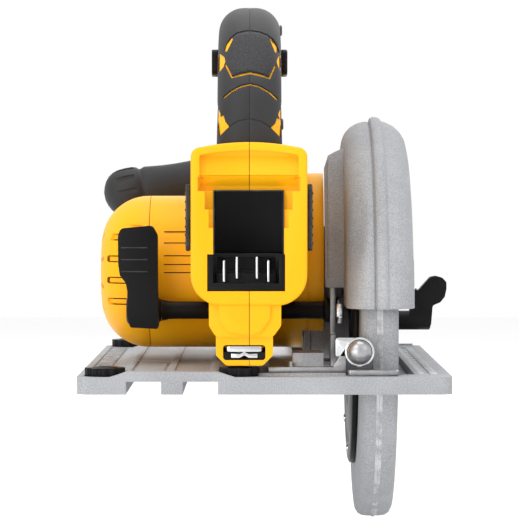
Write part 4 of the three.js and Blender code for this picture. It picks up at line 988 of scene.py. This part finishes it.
# main handle: a yellow core under a dark moulded skin; the lines are (X, Z)
handleLook = {
    "route": [(34, 106), (31, 124), (38, 145), (60, 166), (92, 177), (126, 177), (156, 163), (175, 140), (182, 118),
              (184, 100)],
    "width": 32, "depth": 34, "corner": 13, "skin": .6, "center": -7.5,
    "cap": [(-19.9, 169.8), (-19.3, 172.6), (-17.2, 176.3), (-14.2, 179), (-10.4, 180.2), (-6.8, 180.4),
            (-2.6, 179.8), (1.4, 178.2), (4.3, 176), (6.3, 172.6), (7.3, 169.2)],
    "edgeLeft": [(-16.3, 176.9), (-15.9, 175.8), (-18.8, 169.6), (-20, 169.6), (-19.2, 173)],
    "edgeRight": [(3.2, 176.6), (2.9, 175.5), (5.4, 169.2), (6.8, 169), (6.1, 172.6)],
    "line": [(-19.6, 162.8), (-16.2, 155.8), (-11.6, 157.1), (-7.2, 158), (-2.4, 157), (2.5, 155.4), (5.6, 162.4)],
    "arc": [(-20.4, 145.4), (-16.6, 148.6), (-12, 151), (-7.2, 152.2), (-2.6, 151), (2.4, 148.2), (6.6, 144.4)],
    "patchLeft": [(-23.4, 135.4), (-20.4, 137.2), (-19.4, 133.7), (-17.5, 131.3), (-22.4, 126.6)],
    "patchRight": [(8.7, 134.2), (6.3, 136), (5.3, 132.9), (3.1, 130.8), (7.9, 126)],
    "sideLeft": [(-23.1, 169.4), (-22.3, 168.8), (-20.1, 166.6), (-19.6, 164.3), (-20.5, 161.6), (-22.2, 159.4),
                 (-23.1, 159)],
    "sideRight": [(8.1, 168.6), (6.7, 166.4), (6.2, 164.4), (6.9, 161.8), (8.1, 159.8)],
    "fold": [(-17.5, 131.4), (-13, 134), (-7.4, 135.2), (-1.8, 133.8), (3.1, 130.9)],
    "palm": [(-17.6, 172), (-13.6, 177.4), (-7.2, 179), (-1, 177.2), (3, 172), (4.2, 163), (1.4, 157.4),
             (-7.2, 159.9), (-15.2, 157.8), (-17.8, 163)],
    # (distance from the rear edge, Z) of the openings on each side, with their corner rounding
    "sideGaps": [([(50, 163.5), (62, 154.5), (98, 156), (106, 166), (100, 176), (66, 174)], 4),
                 ([(118, 170), (146, 158), (166, 140), (170, 146), (152, 165), (124, 178)], 3),
                 ([(22, 137), (30, 131), (48, 146), (44, 152)], 2)],
    "gripFoot": 122.4, "legTop": 110.3, "seamHalf": .13,
}


def smoothRoute(points, steps):
    # centripetal Catmull-Rom through the points
    path = [Vector(p) for p in points]
    path = [path[0] * 2 - path[1]] + path + [path[-1] * 2 - path[-2]]
    out = []
    for i in range(1, len(path) - 2):
        p0, p1, p2, p3 = path[i - 1:i + 3]
        t0 = 0
        t1 = t0 + (p1 - p0).length ** .5
        t2 = t1 + (p2 - p1).length ** .5
        t3 = t2 + (p3 - p2).length ** .5
        for k in range(steps):
            t = t1 + (t2 - t1) * k / steps
            a1 = p0 * ((t1 - t) / (t1 - t0)) + p1 * ((t - t0) / (t1 - t0))
            a2 = p1 * ((t2 - t) / (t2 - t1)) + p2 * ((t - t1) / (t2 - t1))
            a3 = p2 * ((t3 - t) / (t3 - t2)) + p3 * ((t - t2) / (t3 - t2))
            b1 = a1 * ((t2 - t) / (t2 - t0)) + a2 * ((t - t0) / (t2 - t0))
            b2 = a2 * ((t3 - t) / (t3 - t1)) + a3 * ((t - t1) / (t3 - t1))
            out.append(b1 * ((t2 - t) / (t2 - t1)) + b2 * ((t - t1) / (t2 - t1)))
    return out + [path[-2]]


def handleTube(look, inset):
    route = smoothRoute(look["route"], 9)
    wide, deep, corner = look["width"] / 2 - inset, look["depth"] / 2 - inset, look["corner"] - inset
    section = roundBox(-wide, wide, -deep, deep, corner, 12)
    verts, faces = [], []
    n = len(section)
    for i, spot in enumerate(route):
        heading = (route[min(i + 1, len(route) - 1)] - route[max(i - 1, 0)]).normalized()
        out = Vector((-heading.y, heading.x))
        swell = 1 + .045 * max(0, 1 - i / 14)
        for u, v in section:
            p = spot + out * v
            verts.append((look["center"] + u * swell, fromRear(p.x), p.y))
        if i:
            a, b = (i - 1) * n, i * n
            faces += [[a + k, a + (k + 1) % n, b + (k + 1) % n, b + k] for k in range(n)]
    last = (len(route) - 1) * n
    faces += [list(range(n)), list(range(last + n - 1, last - 1, -1))]
    return solid(verts, faces)


def handle(look):
    gripFoot, legTop, c = look["gripFoot"], look["legTop"], look["center"]

    def trimmed(inset):
        return cut(handleTube(look, inset), box(-60, 60, fromRear(-30), fromRear(66), 0, gripFoot),
                   box(-60, 60, fromRear(140), fromRear(240), 0, legTop),
                   box(c - 8.9, c + 8.9, fromRear(81.5), fromRear(123.5), 146, 175),
                   box(-40, 40, fromRear(75), fromRear(81), 158.5, 168.6))

    skin = trimmed(0)
    core = trimmed(look["skin"])
    cut(skin, twin(core))
    tools = []
    for key, deep in (("edgeLeft", 66), ("edgeRight", 66), ("patchLeft", 32), ("patchRight", 32),
                      ("sideLeft", 70), ("sideRight", 70)):
        tools.append(slab("y", look[key], fromRear(-20), fromRear(deep)))
    for key, width, deep in (("line", .85, 60), ("arc", .62, 44)):
        tools.append(slab("y", ribbon(look[key], width), fromRear(-20), fromRear(deep)))
    for side in (-1, 1):
        a, b = sorted((c + side * 12.4, c + side * 30))
        for points, ease in look["sideGaps"]:
            tools.append(slab("x", rounded([(fromRear(d), z) for d, z in points], ease), a, b))
    cut(skin, *tools)
    grooves = []
    shallow = handleTube(look, look["skin"] * .62)
    for key, width in (("cap", .75), ("fold", .6)):
        grooves.append(slab("y", ribbon(look[key], width), fromRear(-20), fromRear(70 if key == "cap" else 32)))
    shade = [(x, z + .85) for x, z in look["line"][1:-1]]
    grooves.append(slab("y", ribbon(shade, .6), fromRear(-20), fromRear(56)))
    grooves.append(slab("y", ribbon([(x, z + .75) for x, z in look["arc"]], .5), fromRear(-20), fromRear(40)))
    grooves.append(box(c - look["seamHalf"], c + look["seamHalf"], -300, 300, 0, 300))
    for groove in grooves:
        cut(groove, twin(shallow))
    bpy.data.objects.remove(shallow)
    cut(skin, *grooves)
    finished(skin, "handleSkin", "grip", ("handle_left", "handle_right"), .22, sharp=38)
    finished(core, "handleCore", "yellow", "saw_body", 0, sharp=38)
    pad = handleTube(look, -.22)
    cut(pad, handleTube(look, .3))
    keep(pad, slab("y", rounded(look["palm"], 2), fromRear(-10), fromRear(60)))
    finished(pad, "handlePalmPad", "stipple", "saw_body", .2, sharp=38)


def handleScrews():
    head = turned("x", [(8.2, 0), (8.2, 3), (9.1, 2.8), (9.5, 2.2), (9.5, 1.2), (8.9, 1.1), (8.9, 0)],
                  (0, fromRear(40), 133), 24)
    cup = finished(head, "handleScrew0", "darkSteel", "saw_body", 0)
    for i, (d, z) in enumerate(((112, 184), (172, 146)), 1):
        other = twin(cup)
        for v in other.data.vertices:
            v.co.y += (d - 40) * mm
            v.co.z += (z - 133) * mm
        other.name = "handleScrew" + str(i)
        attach(other, "saw_body")


def trigger():
    x0, x1, y0, y1, z0, z1 = room("trigger")
    shape = [(y0, z1), (y0, z0 + 6.5), (y0 + 3, z0 + 1.2), (y0 + 12, z0), (y0 + 22, z0 + 2.4), (y0 + 29, z0 + 7.5),
             (y1, z0 + 12.5), (y1, z1)]
    body = slab("x", rounded(shape, [1, 4, 4, 6, 8, 6, 3, 1], 8), x0, x1)
    cut(body, rod("x", -40, 40, 1.8, (0, y1 - 4, z1 - 2.6), 24))
    finished(body, "triggerLever", "black", "trigger", 1.6, rings=4)


def lockOff():
    def outline(node):
        _, _, y0, y1, z0, z1 = room(node)
        return rounded([(y0, z0 + .8), (y0, z1 - .8), (y1, z1 + .2), (y1, z0 - .2)], 4)

    x0, x1, y0, _, _, _ = room("lock_off_bar")
    bar = box(x0 + 1, x1, y0 + 6, y0 + 10, 163, 168)
    join(bar, slab("x", outline("lock_off_bar"), x0, x0 + 3.5))
    finished(bar, "lockOffBar", "black", "lock_off_bar", .7, rings=3)
    x0, x1 = room("lock_off_pad_right")[:2]
    pad = slab("x", outline("lock_off_pad_right"), x0 - .6, x1)
    finished(pad, "lockOffPadRight", "black", "lock_off_pad_right", .9, rings=3)


frontLook = {"lean": -.2, "along": -76, "high": 99,
             "profile": [(-89, 0), (-88.9, 2.5), (-88, 5.4), (-86.6, 8.2), (-84.5, 10.6), (-82, 12.2), (-79, 13.1),
                         (-75, 13.4), (-71, 13.3), (-68.6, 12.6), (-67.6, 11.6), (-66.4, 11.3), (-65.2, 11.8),
                         (-64, 12.1), (-60, 11.6), (-54, 10.9), (-46, 10.4), (-40, 10.3), (-18, 10.3), (-18, 0)]}


def frontHandle(look):
    x1 = room("front_handle")[1]
    y, lean = middleOf("front_handle")[1], look["lean"]

    def place(obj):
        for v in obj.data.vertices:
            u, w = v.co.x / mm - look["along"], v.co.z / mm
            v.co.x = (u * math.cos(lean) + w * math.sin(lean) + look["along"]) * mm
            v.co.z = (-u * math.sin(lean) + w * math.cos(lean) + look["high"]) * mm
            v.co.y += y * mm
        return obj

    bar = place(turned("x", look["profile"], (0, 0, 0), 96))
    cut(bar, box(x1, 100, -300, 300, -100, 300))
    seed = slab("x", roundBox(12.2, 14.5, -1.5, 1.5, .7, 3), -84, -70)
    flutes = place(repeat(seed, 10, "grip", turn=(36, 0, 0)))
    cut(bar, flutes)
    finished(bar, "frontHandle", "grip", "front_handle", .5, sharp=36)


handle(handleLook)
handleScrews()
trigger()
lockOff()
frontHandle(frontLook)
print("saw: handles")

clampLook = {"plate": [(-68.6, 29.8), (-54.2, 29), (-53.9, 32), (-54.4, 50), (-54.5, 77), (-57.2, 82), (-73.6, 80.4),
                       (-74.8, 76), (-74.6, 62), (-73.8, 56.4), (-70.8, 52.6), (-70, 48.5), (-69.9, 35)],
             "ease": [1.6, 1.6, 0, 0, 4, 3, 3, 3, 4, 3, 2, 2, 3], "ridges": 58.4, "ridgeStep": 6.1}


def depthClamp(look):
    y0 = room("depth_lever")[2]
    plate = slab("y", rounded(look["plate"], look["ease"]), y0, y0 + 8)
    hub = turned("x", [(-71, 0), (-71, 6), (-70, 7.2), (-56.4, 7.2), (-54.6, 6.6), (-53.2, 5.4), (-53.2, 0)],
                 (0, clampY, clampZ), 64)
    web = box(-69, -56, y0 + 4, clampY, clampZ - 6.5, clampZ + 6.5)
    join(plate, hub, web)
    cut(plate, rod("x", -60, -50, 3.3, (0, clampY, clampZ), 32))
    finished(plate, "depthLever", "black", "depth_lever", 1.3, rings=4)
    # three raised ridges in the lighter grip finish; their lighter tone is a painted highlight along the ridge crests
    low = look["ridges"]
    seed = slab("y", roundBox(-73.2, -59.6, low - .3, low + .3, .28, 4), y0 - .35, y0 + .2)
    ridges = repeat(seed, 3, "grip", step=(0, 0, look["ridgeStep"]))
    finished(ridges, "depthLeverRidges", "grip", "depth_clamp", .2)
    finished(nodeCopy("clamp_bolt"), "clampBolt", "steel", "clamp_bolt", .3)
    x0, x1 = room("clamp_sleeve_left")[:2]
    tube = turned("x", [(x0, 3.3), (x0, 5.6), (x0 + 1, 5.3), (x0 + 4, 4.6), (x0 + 6, 4.5), (x1, 4.5), (x1, 3.3)],
                  (0, clampY, clampZ), 64)
    finished(tube, "clampSleeveLeft", "black", "clamp_sleeve_left", .15)
    x0, x1 = room("clamp_sleeve_right")[:2]
    tube = turned("x", [(x0, 3.3), (x0, 4.5), (x1 - 3.4, 4.5), (x1 - 2.6, 6.4), (x1 - .3, 6.6), (x1, 6.2), (x1, 3.3)],
                  (0, clampY, clampZ), 64)
    finished(tube, "clampSleeveRight", "black", "clamp_sleeve_right", .2)
    finished(nodeCopy("clamp_nut"), "clampNut", "chrome", "clamp_nut", .5)


def bladeWrench():
    x0, x1, y0, y1, _, z1 = room("blade_wrench")
    bar = slab("z", roundBox(x0, x1, y0, y1, 3, 8), 20.6, z1)
    tongue = slab("y", [(-16.5, 17.6), (-12.4, 17.6), (-10, 18.9), (-7.6, 17.6), (-3.5, 17.6), (-3.5, 19.8),
                        (-7.8, 19.6), (-10, 20.7), (-12.2, 19.6), (-16.5, 19.8)], y0, y0 + 18)
    join(bar, tongue, box(-16, -4, y0 + 14, y0 + 18, 18.4, 22))
    finished(bar, "bladeWrench", "chrome", "blade_wrench", .45)
    lining = slab("y", roundBox(-20.3, .3, 16.7, 23.9, 1.5), fromRear(5.6), fromRear(60))
    cut(lining, box(x0 - .3, x1 + .3, -300, 300, 20.4, z1 + .3), box(-16.8, -3.2, -300, 300, 17.3, 22.2))
    finished(lining, "wrenchLining", "black", "saw_body", .15)


depthClamp(clampLook)
bladeWrench()
print("saw: clamp and wrench")

# the hidden works keep their own shapes
inner = {
    "darkSteel": ("spindle", "driven_gear", "rotor_shaft", "rotor_core"),
    "steel": ("spindle_bearing_inner", "spindle_bearing_outer", "rotor_bearing_front", "rotor_bearing_rear",
              "lower_guard_spring"),
    "black": ("cooling_fan", "switch_body"), "copper": ("stator",), "board": ("control_board",),
}
for look, names in inner.items():
    for name in names:
        mesh = frame["nodes"][name].data
        mesh.materials.clear()
        mesh.materials.append(finish(look))

studioLook = {"floor": (.93, .93, .93), "drop": 30, "world": (1, 1, 1), "worldPower": 1.0, "aim": (0, 0, .06),
              "camera": (-.0042, -1.513, .099), "pitch": 1.48, "yaw": .07, "lens": 190.8}
# name: place, size, watts
lamps = {"keyLight": ((-1.0, -1.3, 1.5), 1.0, 8), "fillLight": ((1.3, -1.2, .9), 1.2, 3),
         "topLight": ((.1, .1, 1.9), 1.4, 13), "backLight": ((.3, 1.6, 1.0), 1.4, 6),
         "lowLight": ((-.7, -1.1, .02), .8, 5)}


def studio(look):
    ground = room("lower_guard")[4] - look["drop"]
    floor = slab("z", roundBox(-3000, 3000, -3000, 3000, 400), ground - 8, ground)
    floor.name = "studioFloor"
    web = Web("paleFloor")
    tone = web.noise(4, 3)
    pale = tuple(v * .97 for v in look["floor"])
    floor.data.materials.append(web.paint(Base_Color=web.tint(tone, pale, look["floor"]), Roughness=.7 + tone * .1))
    world = bpy.data.worlds.new("studioWorld")
    stage.world = world
    world.use_nodes = True
    back = world.node_tree.nodes["Background"]
    back.inputs["Color"].default_value = (*look["world"], 1)
    back.inputs["Strength"].default_value = look["worldPower"]
    for name, (place, size, watts) in lamps.items():
        lamp = bpy.data.lights.new(name, "AREA")
        lamp.energy, lamp.size = watts, size
        obj = placed(name, lamp)
        obj.location = place
        obj.rotation_euler = (Vector(look["aim"]) - Vector(place)).to_track_quat("-Z", "Y").to_euler()
    lens = bpy.data.cameras.new("sawCamera")
    lens.lens, lens.sensor_width, lens.sensor_fit = look["lens"], 36, "AUTO"
    lens.clip_end = 50
    camera = placed("sawCamera", lens)
    camera.location = look["camera"]
    camera.rotation_euler = (math.radians(90 - look["pitch"]), 0, math.radians(-look["yaw"]))
    stage.camera = camera
    stage.view_settings.view_transform = "Standard"


studio(studioLook)
print("saw: studio")
